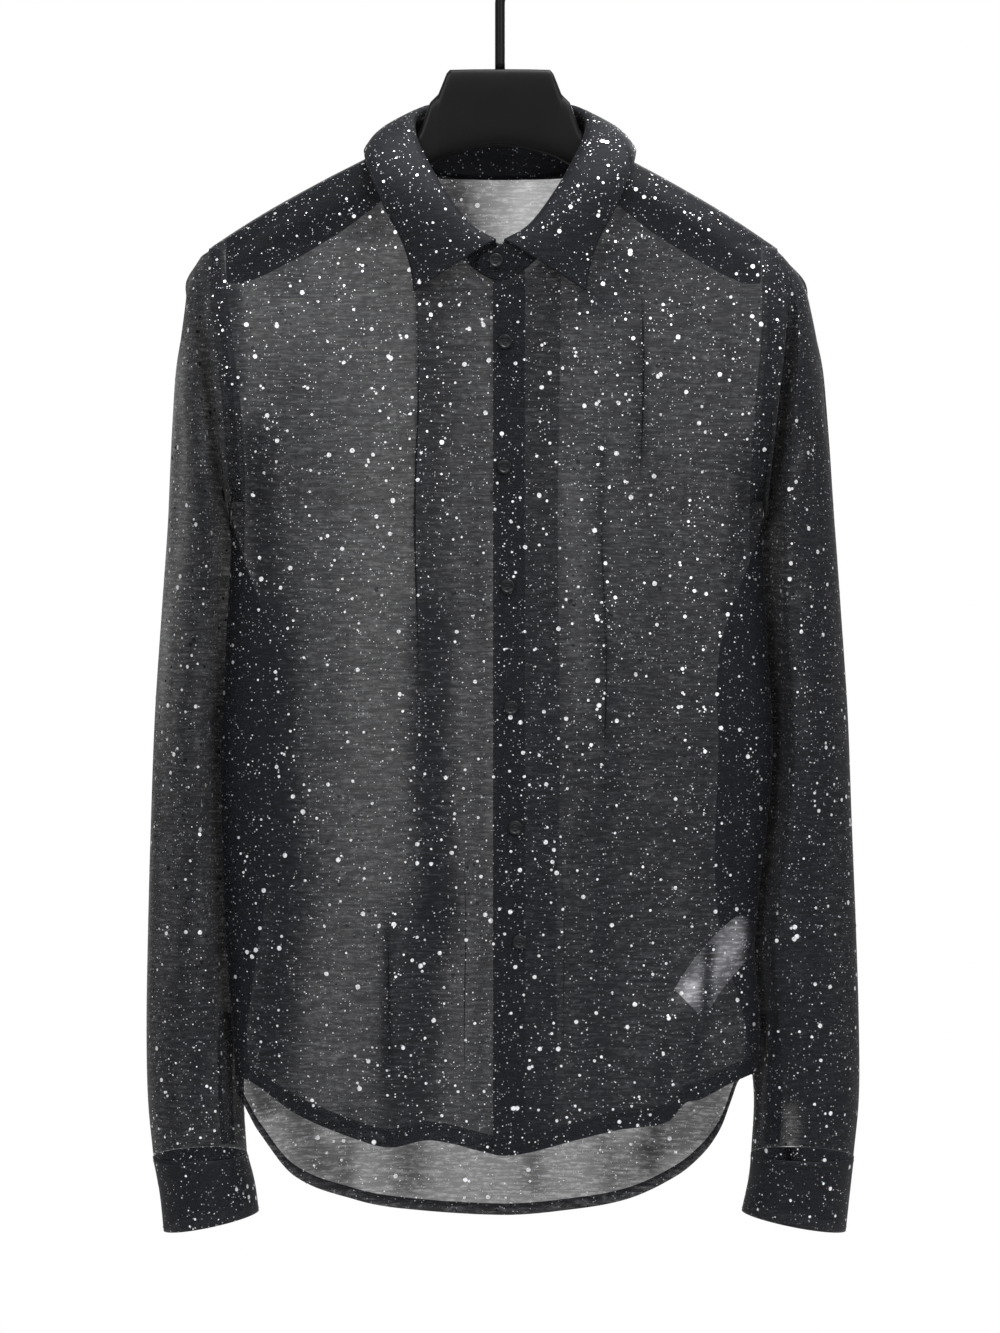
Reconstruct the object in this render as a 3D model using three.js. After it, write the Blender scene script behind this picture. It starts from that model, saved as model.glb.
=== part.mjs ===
// A sheer long-sleeved button-up shirt hanging on a broad plastic hanger, in millimetres.
// +X is right in the front view, the front faces -Y and +Z is up.
// The origin is the saddle of the hook, where a rail carries the hanger.
// "down" is a distance below the saddle, so a height is z = -down.

import * as THREE from 'three';

// Cloth and seams
const WALL = 1.1;
const STAND_WALL = 1.5;
const FACING_WALL = 0.9;
const LABEL_WALL = 1.0;
const SEAM_GAP = 0.4;
const LAYER_GAP = 0.35;

// Shoulders, neck and armholes
const SHOULDER_DOWN = 240;
const UNDERARM_DOWN = 425;
const ARMHOLE_HALF_DEPTH = 33;
const RIDGE_ROUNDING = 28;
const NECK_DOWN = 161;
const NECK_HALF_WIDTH = 73;
const FRONT_NECK_DROP = 106;
const BACK_NECK_DROP = 21;
const NECK_BULGE = 12;
const TOP_ROWS = [0, 3, 9, 18, 32];
const HEM_DOWN = 870;

// Front closing
const OVER_EDGE_X = -5;
const UNDER_EDGE_X = 18;
const OVER_FACING_COLUMNS = 6;
const UNDER_FACING_COLUMNS = 3;
const OVERLAP_LIFT = WALL + FACING_WALL + 2 * LAYER_GAP;
const BUTTON_RADIUS = 5.2;
const BUTTON_THICKNESS = 2.2;
const BUTTON_RIM = 0.5;
const BUTTON_RIM_WIDTH = 1.6;
const BUTTON_DISH = 0.8;
const BUTTON_SIDES = 12;
const COLLAR_BUTTON_LIFT = 3.5;

// Cuffs and sleeve slits
const CUFF_LAP = 0.42;
const CUFF_LAP_LIFT = 2.2;
const CUFF_LAP_FROM = 0.78;
const CUFF_LAP_TO = 0.93;
const CUFF_BUTTON_SHARE = 0.965;
const CUFF_STEPS = 26;
const PLACKET_WIDTH_ANGLE = 0.35;
const PLACKET_TOP_ROW = 11.7;
const PLACKET_END_GAP = 0.05;
const PLACKET_STEPS = 6;
const PLACKET_LIFT = 2.1;
const SLIT_TURN = 2.1;

// Sleeves
const ARMHOLE_CLEAR = 1.3;
const SLEEVE_CLEAR = 2.5;
const SLEEVE_WIDENING = 0.97;
const SLEEVE_WRAP_SLOPE = 3.5;
const SLEEVE_RIPPLE = 2.5;
const SLEEVE_RINGS = 20;
const RING_POINTS = 24;

// Hanger
const ROD_RADIUS = 3.65;
const HOOK_INNER_RADIUS = 20.5;
const STEM_TOP_DOWN = 62;
const PLATE_TOP_DOWN = 110;
const STEM_SEAT = 0.6;
const ARM_CLEAR = 0.4;
const ARM_POWER = 2.2;
const HANGER_SIDES = 14;
const HOOK_BEND = 14;

// Half widths of the body, from the shoulders to the hem
const BODY_WIDTH = [
  { down: 150, left: 212, right: 202 },
  { down: 240, left: 212, right: 202 },
  { down: 300, left: 207, right: 202 },
  { down: 360, left: 200, right: 197 },
  { down: 440, left: 196, right: 192 },
  { down: 526, left: 200, right: 195 },
  { down: 614, left: 204, right: 199 },
  { down: 748, left: 200, right: 186 },
  { down: 801, left: 196, right: 190 },
  { down: 850, left: 193, right: 187 },
  { down: 960, left: 190, right: 184 },
];

// Height of the shoulder line across the body, as a share of the half width
const RIDGE = [
  { across: 0.0, down: 146 },
  { across: 0.34, down: 161 },
  { across: 0.467, down: 175.5 },
  { across: 0.6, down: 190 },
  { across: 0.8, down: 213.5 },
  { across: 1.0, down: 240 },
];

// Half depths of the body
const BODY_DEPTH = [
  { down: 150, front: 24, back: 26 },
  { down: 240, front: 26, back: 28 },
  { down: 300, front: 32, back: 33 },
  { down: 425, front: 38, back: 37 },
  { down: 600, front: 42, back: 40 },
  { down: 800, front: 41, back: 42 },
  { down: 960, front: 40, back: 41 },
];

// Lower edges: the front hem has a step where a fold lifts it, and the back tail is longer
const FRONT_HEM = [
  { x: -196, down: 843 },
  { x: -179, down: 847 },
  { x: -146, down: 869 },
  { x: -95, down: 884.5 },
  { x: -77, down: 889.5 },
  { x: -51, down: 884.5 },
  { x: -15, down: 886 },
  { x: 1, down: 893.5 },
  { x: 18, down: 889.5 },
  { x: 57, down: 883 },
  { x: 83, down: 877 },
  { x: 121, down: 873 },
  { x: 133, down: 860 },
  { x: 144, down: 858 },
  { x: 167, down: 847 },
  { x: 190, down: 839 },
];
const BACK_HEM = [
  { x: -196, down: 848 },
  { x: -187, down: 868 },
  { x: -178, down: 887 },
  { x: -153, down: 921 },
  { x: -108, down: 940 },
  { x: -73, down: 947 },
  { x: 0, down: 952 },
  { x: 44, down: 949 },
  { x: 94, down: 940 },
  { x: 131, down: 921 },
  { x: 151, down: 901 },
  { x: 166, down: 872 },
  { x: 190, down: 842 },
];

// The largest folds: a ridge or trough of the cloth that runs from top to bottom
const FRONT_FOLDS = [
  { topX: -59, bottomX: -61, topDown: 285, bottomDown: 560, width: 15, depth: 6 },
  { topX: -56, bottomX: -50, topDown: 430, bottomDown: 800, width: 26, depth: -5 },
  { topX: -78, bottomX: -74, topDown: 720, bottomDown: 900, width: 16, depth: 6 },
  { topX: 103, bottomX: 100, topDown: 280, bottomDown: 430, width: 18, depth: 6 },
  { topX: 70, bottomX: 76, topDown: 400, bottomDown: 760, width: 22, depth: 6 },
  { topX: 104, bottomX: 108, topDown: 400, bottomDown: 800, width: 24, depth: -4 },
  { topX: 130, bottomX: 122, topDown: 790, bottomDown: 890, width: 16, depth: 6 },
];
const BACK_FOLDS = [
  { topX: -84, bottomX: -92, topDown: 300, bottomDown: 640, width: 24, depth: 6 },
  { topX: -30, bottomX: -24, topDown: 380, bottomDown: 930, width: 26, depth: -5 },
  { topX: 46, bottomX: 40, topDown: 300, bottomDown: 760, width: 24, depth: 5 },
  { topX: 104, bottomX: 116, topDown: 340, bottomDown: 860, width: 26, depth: -6 },
];

// Sections of a sleeve, from the armhole to the cuff: the outer and the inner end of each, its
// half depth front to back and how far behind the middle plane it lies
const SLEEVE = [
  { outerLeft: 212, outerRight: 202, outerDown: 241, inner: 0, innerDown: 425, half: 33, behind: 0 },
  { outerLeft: 220, outerRight: 212, outerDown: 248, inner: 1.5, innerDown: 434, half: 34, behind: 1 },
  { outerLeft: 227, outerRight: 221, outerDown: 263, inner: 1.5, innerDown: 446, half: 35, behind: 3 },
  { outerLeft: 231, outerRight: 228, outerDown: 288, inner: -3, innerDown: 461, half: 38, behind: 7 },
  { outerLeft: 236, outerRight: 235, outerDown: 324, inner: -12, innerDown: 480, half: 41, behind: 12 },
  { outerLeft: 239, outerRight: 239, outerDown: 362, inner: -23, innerDown: 502, half: 44, behind: 17 },
  { outerLeft: 242, outerRight: 243, outerDown: 404, inner: -32, innerDown: 528, half: 46, behind: 20 },
  { outerLeft: 245, outerRight: 247, outerDown: 450, inner: -37, innerDown: 558, half: 47, behind: 23 },
  { outerLeft: 249, outerRight: 251, outerDown: 505, inner: -38, innerDown: 594, half: 47, behind: 24 },
  { outerLeft: 254, outerRight: 256, outerDown: 580, inner: -37, innerDown: 645, half: 46, behind: 24 },
  { outerLeft: 257, outerRight: 259, outerDown: 660, inner: -31, innerDown: 704, half: 45, behind: 24 },
  { outerLeft: 259, outerRight: 262, outerDown: 738, inner: -18, innerDown: 768, half: 43, behind: 23 },
  { outerLeft: 260, outerRight: 264, outerDown: 808, inner: -7, innerDown: 824, half: 41, behind: 22 },
  { outerLeft: 259, outerRight: 264, outerDown: 862, inner: -4, innerDown: 866, half: 40, behind: 22 },
  { outerLeft: 255, outerRight: 260, outerDown: 905, inner: -5, innerDown: 903, half: 39, behind: 22 },
];

// Sections of a cuff
const CUFF = [
  {
    outerLeft: 255, outerRight: 260, outerDown: 905.6, innerLeft: 186.6, innerRight: 180.6, innerDown: 903.6,
    half: 39, behind: 22,
  },
  {
    outerLeft: 250, outerRight: 257, outerDown: 932, innerLeft: 181, innerRight: 180, innerDown: 925,
    half: 38, behind: 22,
  },
  {
    outerLeft: 247, outerRight: 254, outerDown: 960, innerLeft: 178, innerRight: 178, innerDown: 946,
    half: 37, behind: 22,
  },
];

// Half of the collar, from its front end to the middle of the back: the fold along its top
// and its free edge, from the point round the neck
const COLLAR = [
  { foldX: 3, foldY: -44.5, foldDown: 239, edgeX: 62, edgeY: -43, edgeDown: 276, bulge: 4 },
  { foldX: 21, foldY: -43, foldDown: 228, edgeX: 64.5, edgeY: -42, edgeDown: 259, bulge: 5 },
  { foldX: 39, foldY: -38, foldDown: 204, edgeX: 71, edgeY: -41, edgeDown: 239, bulge: 8 },
  { foldX: 53, foldY: -29, foldDown: 179, edgeX: 84, edgeY: -39, edgeDown: 214, bulge: 13 },
  { foldX: 62, foldY: -15, foldDown: 158, edgeX: 95, edgeY: -32, edgeDown: 187, bulge: 14 },
  { foldX: 64, foldY: 2, foldDown: 143, edgeX: 99, edgeY: 0, edgeDown: 168, bulge: 9 },
  { foldX: 57, foldY: 19, foldDown: 134, edgeX: 94, edgeY: 29, edgeDown: 174, bulge: 7 },
  { foldX: 43, foldY: 31, foldDown: 130, edgeX: 68, edgeY: 45, edgeDown: 181, bulge: 6 },
  { foldX: 22, foldY: 37, foldDown: 129, edgeX: 34, edgeY: 50, edgeDown: 183, bulge: 5 },
  { foldX: 0, foldY: 38, foldDown: 129, edgeX: 0, edgeY: 51, edgeDown: 183, bulge: 5 },
];
const LEAF_SEAM_DROP = 5;
const LEAF_SEAM_INSET = 2.2;
const NECK_POINT_ROW = 5;
const LEAF_CLEAR = 3;

// Sections of the hanger body: of the plate from the middle out, and of an arm under the shoulder
const PLATE = [
  { x: 0, top: 109.7, bottom: 165, half: 7, power: 5 },
  { x: 20, top: 109.8, bottom: 167.5, half: 7, power: 5 },
  { x: 36.5, top: 110.2, bottom: 172, half: 7, power: 5 },
  { x: 39, top: 113, bottom: 173, half: 7, power: 5 },
  { x: 45, top: 128, bottom: 176, half: 7.2, power: 4 },
  { x: 51, top: 134, bottom: 179.5, half: 7.6, power: 4 },
  { x: 57.5, top: 152, bottom: 184, half: 8, power: 3 },
  { x: 63, top: 161.5, bottom: 187.5, half: 8.5, power: 2.5 },
  { x: 68, top: 163.5, bottom: 190.5, half: 11, power: 2.2 },
];
const ARM = [
  { across: 0.37, height: 33, half: 13 },
  { across: 0.44, height: 38, half: 15.5 },
  { across: 0.55, height: 43, half: 18 },
  { across: 0.68, height: 45, half: 19 },
  { across: 0.8, height: 44, half: 18.5 },
  { across: 0.88, height: 41, half: 15.5 },
  { across: 0.94, height: 33, half: 9 },
];

// Places of the front buttons
const BUTTONS = [
  { x: -3, down: 254 },
  { x: 3.5, down: 312 },
  { x: 3, down: 402 },
  { x: 5.5, down: 488 },
  { x: 8, down: 575 },
  { x: 11, down: 661 },
  { x: 14, down: 743 },
];

// Surface finishes
const CLOTH = { color: 0x2b2d30, roughness: 0.7, metalness: 0.0 };
const BUTTON_PLASTIC = { color: 0x3a3f42, roughness: 0.35, metalness: 0.0 };
const LABEL_CLOTH = { color: 0xe6e6e8, roughness: 0.6, metalness: 0.0 };
const HANGER_PLASTIC = { color: 0x1c1d1f, roughness: 0.45, metalness: 0.0 };
const HOOK_METAL = { color: 0x161617, roughness: 0.4, metalness: 0.3 };

const shirt = new THREE.Group();

// Adds one named piece
function addPiece(name, geometry, finish) {
  const mesh = new THREE.Mesh(geometry, new THREE.MeshStandardMaterial(finish));
  mesh.name = name;
  shirt.add(mesh);
  return mesh;
}

// Smooth step from 0 to 1 as a value goes from start to end
function ease(value, start, end) {
  const share = Math.min(1, Math.max(0, (value - start) / (end - start)));
  return share * share * (3 - 2 * share);
}

// One column of a table at a place along its key column, on a smooth curve through the rows
function lookUp(table, key, column, place) {
  const last = table.length - 1;
  let row = 0;
  while (row < last - 1 && place > table[row + 1][key]) row += 1;
  const slopeAt = (index) => {
    const low = Math.max(0, index - 1);
    const high = Math.min(last, index + 1);
    return (table[high][column] - table[low][column]) / (table[high][key] - table[low][key]);
  };
  const here = table[row];
  const next = table[row + 1];
  const span = next[key] - here[key];
  const share = Math.min(1, Math.max(0, (place - here[key]) / span));
  const square = share * share;
  const cube = square * share;
  return (2 * cube - 3 * square + 1) * here[column]
    + (cube - 2 * square + share) * span * slopeAt(row)
    + (3 * square - 2 * cube) * next[column]
    + (cube - square) * span * slopeAt(row + 1);
}

// Numbers a table's rows from 0, so that it can be read by row
function numbered(table) {
  return table.map((row, index) => ({ ...row, row: index }));
}

// Half width of the body at a height, on the side that x lies on
function halfWidth(down, x) {
  return lookUp(BODY_WIDTH, 'down', x < 0 ? 'left' : 'right', down);
}

// How far the folds move the cloth outward at a place
function foldDepth(folds, x, down) {
  let depth = 0;
  for (const fold of folds) {
    const share = (down - fold.topDown) / (fold.bottomDown - fold.topDown);
    if (share <= 0 || share >= 1) continue;
    const middle = fold.topX + (fold.bottomX - fold.topX) * share;
    const distance = (x - middle) / fold.width;
    depth += fold.depth * Math.sin(Math.PI * share) ** 0.6 * Math.exp(-distance * distance);
  }
  return depth;
}

// Depth of the front or the back cloth from the middle plane
function bodyDepth(side, x, down) {
  const across = Math.min(1, Math.abs(x) / halfWidth(down, x));
  const below = down - lookUp(RIDGE, 'across', 'down', across);
  const bulge = NECK_BULGE * (1 - ease(across, 0.1, 0.55)) * (1 - ease(down, 200, 380));
  const full = lookUp(BODY_DEPTH, 'down', side, down) + bulge;
  const turn = Math.min(1, Math.max(0, below / RIDGE_ROUNDING));
  const ridge = full * Math.sqrt(1 - (1 - turn) ** 2);
  const middle = (SHOULDER_DOWN + UNDERARM_DOWN) / 2;
  const reach = (UNDERARM_DOWN - SHOULDER_DOWN) / 2;
  const height = (down - middle) / reach;
  const edge = Math.abs(height) < 1 ? ARMHOLE_HALF_DEPTH * Math.sqrt(1 - height * height) : 0;
  const power = 12 - 9.4 * ease(down, SHOULDER_DOWN, UNDERARM_DOWN);
  const fullness = Math.sqrt(1 - across ** power);
  const folds = foldDepth(side === 'front' ? FRONT_FOLDS : BACK_FOLDS, x, down);
  return edge + (ridge - edge) * fullness + folds * fullness;
}

// Top edge of a panel: the neckline near the middle and the shoulder line beside it
function topDown(side, x) {
  const reach = Math.min(1, Math.abs(x) / NECK_HALF_WIDTH);
  if (reach >= 1) {
    const across = Math.min(1, Math.abs(x) / halfWidth(SHOULDER_DOWN, x));
    return lookUp(RIDGE, 'across', 'down', across);
  }
  if (side === 'front') return NECK_DOWN + FRONT_NECK_DROP * (1 - reach ** 1.7) ** 0.8;
  return NECK_DOWN + BACK_NECK_DROP * Math.sqrt(1 - reach ** 2.5);
}

// How far the over front is lifted off the under front
function overLift(x, down) {
  return OVERLAP_LIFT * (1 - ease(x, 52, 115)) * ease(down, 165, 200);
}

// A closed wall between two offsets of a grid of points, rows of columns.
// A ring grid closes on itself across its columns.
function wallGeometry(grid, thickness, shift = 0, ring = false) {
  const rows = grid.length;
  const columns = grid[0].length;
  const wrap = (column) => (column + columns) % columns;
  const near = (column) => (ring ? wrap(column) : Math.min(columns - 1, Math.max(0, column)));
  const positions = [];
  for (const offset of [shift + thickness / 2, shift - thickness / 2]) {
    for (let row = 0; row < rows; row += 1) {
      for (let column = 0; column < columns; column += 1) {
        const across = grid[row][near(column + 1)].clone().sub(grid[row][near(column - 1)]);
        const along = grid[Math.min(rows - 1, row + 1)][column].clone()
          .sub(grid[Math.max(0, row - 1)][column]);
        const normal = across.cross(along).normalize();
        const point = grid[row][column].clone().addScaledVector(normal, offset);
        positions.push(point.x, point.y, point.z);
      }
    }
  }
  const layer = rows * columns;
  const at = (side, row, column) => side * layer + row * columns + wrap(column);
  const faces = [];
  const quad = (a, b, c, d) => faces.push(a, b, c, a, c, d);
  const spans = ring ? columns : columns - 1;
  for (let row = 0; row < rows - 1; row += 1) {
    for (let column = 0; column < spans; column += 1) {
      quad(at(0, row, column), at(0, row, column + 1), at(0, row + 1, column + 1), at(0, row + 1, column));
      quad(at(1, row, column), at(1, row + 1, column), at(1, row + 1, column + 1), at(1, row, column + 1));
    }
  }
  for (let column = 0; column < spans; column += 1) {
    quad(at(0, 0, column), at(1, 0, column), at(1, 0, column + 1), at(0, 0, column + 1));
    const end = rows - 1;
    quad(at(0, end, column), at(0, end, column + 1), at(1, end, column + 1), at(1, end, column));
  }
  if (!ring) {
    for (let row = 0; row < rows - 1; row += 1) {
      const end = columns - 1;
      quad(at(0, row, 0), at(0, row + 1, 0), at(1, row + 1, 0), at(1, row, 0));
      quad(at(0, row, end), at(1, row, end), at(1, row + 1, end), at(0, row + 1, end));
    }
  }
  return solidGeometry(positions, faces);
}

// A geometry from points and faces, turned so that its faces point out
function solidGeometry(positions, faces) {
  let volume = 0;
  const corner = (index) => new THREE.Vector3().fromArray(positions, 3 * index);
  for (let face = 0; face < faces.length; face += 3) {
    const [a, b, c] = [corner(faces[face]), corner(faces[face + 1]), corner(faces[face + 2])];
    volume += a.dot(b.cross(c));
  }
  const turned = [];
  for (let face = 0; face < faces.length; face += 3) {
    const [a, b, c] = faces.slice(face, face + 3);
    if (volume > 0) turned.push(a, b, c);
    else turned.push(a, c, b);
  }
  const geometry = new THREE.BufferGeometry();
  geometry.setAttribute('position', new THREE.Float32BufferAttribute(positions, 3));
  geometry.setIndex(turned);
  geometry.computeVertexNormals();
  return geometry;
}

// Places from the side seam to the neck, close together where the cloth turns to the other side
function sideShares(neckShare, steps) {
  const shares = [1, 0.99, 0.962, 0.917, 0.853];
  const start = shares[shares.length - 1];
  for (let step = 1; step <= steps; step += 1) shares.push(start + (neckShare - start) * (step / steps));
  return shares;
}

// Columns of a panel as shares of the half width, from the left side seam towards the right
function panelShares(side) {
  const neckLeft = NECK_HALF_WIDTH / halfWidth(SHOULDER_DOWN, -1);
  const neckRight = NECK_HALF_WIDTH / halfWidth(SHOULDER_DOWN, 1);
  const left = sideShares(neckLeft, 8).map((share) => -share);
  const right = sideShares(neckRight, 8).reverse();
  if (side === 'back') {
    const middle = [-0.25, -0.17, -0.08, 0, 0.08, 0.17, 0.25];
    return [...left, ...middle, ...right];
  }
  return side === 'under' ? left : right;
}

// Points of a panel: rows close together over the shoulder's turn, then even to the hem
function panelGrid(side, columns, evenRows, hem, place) {
  const line = (downAt) => columns.map((column) => {
    const top = topDown(side, place(column, SHOULDER_DOWN)) + SEAM_GAP;
    const bottom = lookUp(hem, 'x', 'down', place(column, HEM_DOWN));
    const down = downAt(top, bottom);
    return { x: place(column, down), down };
  });
  const turned = TOP_ROWS.map((drop) => line((top) => top + drop));
  const start = TOP_ROWS[TOP_ROWS.length - 1];
  const even = [];
  for (let row = 1; row <= evenRows; row += 1) {
    const share = row / evenRows;
    even.push(line((top, bottom) => top + start + (bottom - top - start) * share));
  }
  return [...turned, ...even];
}

// Turns places on the front or back into points
function onBody(grid, side, lift) {
  const sign = side === 'front' ? -1 : 1;
  return grid.map((line) => line.map(({ x, down }) => {
    const depth = bodyDepth(side, x, down) + SEAM_GAP / 2 + lift(x, down);
    return new THREE.Vector3(x, sign * depth, -down);
  }));
}

// Front panels: columns from the side seam to the neck are shares of the half width, and those
// from the neck to the front edge are evenly spaced up to that edge
function frontPlace(edgeX, sideSign) {
  return ({ share, toEdge }, down) => {
    const width = halfWidth(down, sideSign);
    if (toEdge === undefined) return sideSign * share * width;
    const neck = sideSign * NECK_HALF_WIDTH * (width / halfWidth(SHOULDER_DOWN, sideSign));
    return neck + (edgeX - neck) * toEdge;
  };
}

function frontColumns(sideSign, innerSteps) {
  const neckShare = NECK_HALF_WIDTH / halfWidth(SHOULDER_DOWN, sideSign);
  const columns = sideShares(neckShare, 7).map((share) => ({ share }));
  for (let step = 1; step <= innerSteps; step += 1) columns.push({ toEdge: step / innerSteps });
  return columns;
}

const FRONT_ROWS = 14;
const overGrid = onBody(
  panelGrid('front', frontColumns(1, 8), FRONT_ROWS, FRONT_HEM, frontPlace(OVER_EDGE_X, 1)),
  'front',
  overLift,
);
const underGrid = onBody(
  panelGrid('front', frontColumns(-1, 9), FRONT_ROWS, FRONT_HEM, frontPlace(UNDER_EDGE_X, -1)),
  'front',
  () => 0,
);
addPiece('front_over', wallGeometry(overGrid, WALL), CLOTH);
addPiece('front_under', wallGeometry(underGrid, WALL), CLOTH);

// Back
const BACK_ROWS = 15;
const backPlace = (share, down) => share * halfWidth(down, share);
const backGrid = onBody(
  panelGrid('back', panelShares('back'), BACK_ROWS, BACK_HEM, backPlace),
  'back',
  () => 0,
);
addPiece('back', wallGeometry(backGrid, WALL), CLOTH);

// Facings: strips behind the front edges, made from the fronts' own points and moved inward
const facingShift = WALL / 2 + LAYER_GAP + FACING_WALL / 2;
const edgeStrip = (grid, columns) => grid.slice(1).map((line) => line.slice(-columns));
const overStrip = edgeStrip(overGrid, OVER_FACING_COLUMNS);
const underStrip = edgeStrip(underGrid, UNDER_FACING_COLUMNS);
addPiece('facing_over', wallGeometry(overStrip, FACING_WALL, -facingShift), CLOTH);
addPiece('facing_under', wallGeometry(underStrip, FACING_WALL, facingShift), CLOTH);

// Collar: sections from one front end round the back to the other
function collarRows() {
  const half = COLLAR.map((row) => ({ ...row }));
  const left = half.map((row) => ({ ...row, foldX: -row.foldX, edgeX: -row.edgeX }));
  const right = half.slice(0, -1).reverse();
  return numbered([...left, ...right]);
}
const COLLAR_ROWS = collarRows();
const COLLAR_END = COLLAR_ROWS.length - 1;

function collarPoint(kind, row) {
  const at = (column) => lookUp(COLLAR_ROWS, 'row', `${kind}${column}`, row);
  return new THREE.Vector3(at('X'), at('Y'), -at('Down'));
}

// Where the leaf is sewn to the stand, just inside and below the fold
function leafSeam(row) {
  const fold = collarPoint('fold', row);
  const inwards = new THREE.Vector3(-fold.x, -fold.y, 0).normalize();
  return fold.addScaledVector(inwards, LEAF_SEAM_INSET).add(new THREE.Vector3(0, 0, -LEAF_SEAM_DROP));
}

// Moves a point out until it clears the front or back cloth below it
function clearOfBody(point, clear) {
  const side = point.y < 0 ? 'front' : 'back';
  const down = -point.z;
  if (down < topDown(side, point.x)) return point;
  const lift = side === 'front' && point.x > 0 ? overLift(point.x, down) : 0;
  const depth = bodyDepth(side, point.x, down) + lift + clear;
  if (Math.abs(point.y) < depth) point.y = side === 'front' ? -depth : depth;
  return point;
}

const LEAF_SHARES = [0.18, 0.42, 0.7, 1];
const LEAF_STEPS = 30;
const leafGrid = [];
for (let step = 0; step <= LEAF_STEPS; step += 1) {
  const row = (COLLAR_END * step) / LEAF_STEPS;
  const fold = collarPoint('fold', row);
  const edge = collarPoint('edge', row);
  const outward = new THREE.Vector3(fold.x, fold.y, 0).normalize();
  const fullness = lookUp(COLLAR_ROWS, 'row', 'bulge', row);
  const line = [leafSeam(row), fold];
  for (const share of LEAF_SHARES) {
    const bulge = fullness * Math.sin(Math.PI * share ** 0.7);
    const point = fold.clone().lerp(edge, share).addScaledVector(outward, bulge);
    line.push(clearOfBody(point, LEAF_CLEAR));
  }
  leafGrid.push(line);
}
addPiece('collar_leaf', wallGeometry(leafGrid, WALL), CLOTH);

// Collar stand: from the neckline up to the leaf, its two ends lapped at the front.
// It turns from its over end, past the middle front, round the neck and past it again.
const STAND_OVER_TURN = -0.24;
const STAND_UNDER_TURN = 0.2;
const STAND_STEPS = 34;
const STAND_CLEAR = 1.4;
const STAND_TOP_CLEAR = 1.9;
const STAND_OVER_SHARE = 0.6;
const STAND_END_DROP = 0.35;

function neckPoint(turn) {
  const side = Math.cos(turn) > 0 ? 'front' : 'back';
  const x = NECK_HALF_WIDTH * Math.sin(turn);
  const down = topDown(side, x);
  const isOver = turn < Math.PI / 2;
  const lift = isOver ? overLift(Math.abs(x), down) : 0;
  const sign = side === 'front' ? -1 : 1;
  const depth = bodyDepth(side, x, down) + SEAM_GAP / 2 + lift;
  return new THREE.Vector3(x, sign * depth, -down + STAND_CLEAR);
}

// Section of the collar that lies above a turn of the neckline
function collarRowAt(turn) {
  const middle = COLLAR_END / 2;
  const fromFront = turn < Math.PI ? turn : 2 * Math.PI - turn;
  const quarter = fromFront / (Math.PI / 2);
  const half = quarter < 1 ? NECK_POINT_ROW * quarter
    : NECK_POINT_ROW + (middle - NECK_POINT_ROW) * (quarter - 1);
  return turn < Math.PI ? COLLAR_END - half : half;
}

const standGrid = [];
const standEnd = 2 * Math.PI + STAND_UNDER_TURN;
for (let step = 0; step <= STAND_STEPS; step += 1) {
  const turn = STAND_OVER_TURN + ((standEnd - STAND_OVER_TURN) * step) / STAND_STEPS;
  const held = Math.min(2 * Math.PI, Math.max(0, turn));
  const base = neckPoint(turn);
  const seam = leafSeam(collarRowAt(held));
  seam.x += NECK_HALF_WIDTH * (Math.sin(turn) - Math.sin(held));
  if (turn < Math.PI / 2) seam.y -= overLift(Math.abs(base.x), -base.z) * STAND_OVER_SHARE;
  const past = Math.abs(turn - held) / Math.abs(STAND_OVER_TURN);
  const height = (seam.distanceTo(base) - STAND_TOP_CLEAR) * (1 - STAND_END_DROP * past * past);
  const rise = seam.clone().sub(base).normalize();
  const line = [0, 0.5, 1].map((share) => base.clone().addScaledVector(rise, height * share));
  standGrid.push(line);
}
addPiece('collar_stand', wallGeometry(standGrid, STAND_WALL), CLOTH);

// Sleeves: a tube from the armhole to the cuff that hangs beside and just behind the body
const SLEEVE_ROWS = numbered(SLEEVE);
const SLEEVE_END = SLEEVE_ROWS.length - 1;

// The nearest to the middle plane that a sleeve may come behind the side of the body
function sleeveLimit(x, down) {
  const inside = x * SLEEVE_WIDENING;
  const distance = Math.abs(inside) - halfWidth(down, x);
  if (distance < 0) return bodyDepth('back', inside, down) + SLEEVE_CLEAR;
  return SLEEVE_CLEAR - SLEEVE_WRAP_SLOPE * distance;
}

function sleevePoint(sign, row, turn) {
  const at = (column) => lookUp(SLEEVE_ROWS, 'row', column, row);
  const outerX = at(sign < 0 ? 'outerLeft' : 'outerRight');
  const innerX = halfWidth(at('innerDown'), sign) + at('inner');
  const swing = Math.cos(turn);
  const middleDown = (at('outerDown') + at('innerDown')) / 2;
  const down = middleDown + ((at('outerDown') - at('innerDown')) / 2) * swing;
  let x = (outerX + innerX) / 2 + ((outerX - innerX) / 2) * swing;
  const armhole = 1 - ease(row, 0, 2.5);
  const edgeX = halfWidth(down, sign) + ARMHOLE_CLEAR;
  x += (edgeX - x) * armhole;
  if (down < UNDERARM_DOWN + 12) x = Math.max(x, edgeX);
  const ripple = SLEEVE_RIPPLE * Math.sin(3 * turn + 0.6) * ease(row, 3, 6) * (1 - ease(row, 11, 13));
  let y = at('behind') + (at('half') + ripple) * Math.sin(turn);
  const near = ease(row, 1.2, 2.2) * (1 - ease(down, 875, 900));
  const limit = sleeveLimit(sign * x, down);
  if (near > 0 && y < limit) y += (limit - y) * near;
  return new THREE.Vector3(sign * x, y, -down);
}

// Cuffs: bands whose ends lap at the sleeve's slit
const CUFF_ROWS = numbered(CUFF);

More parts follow.
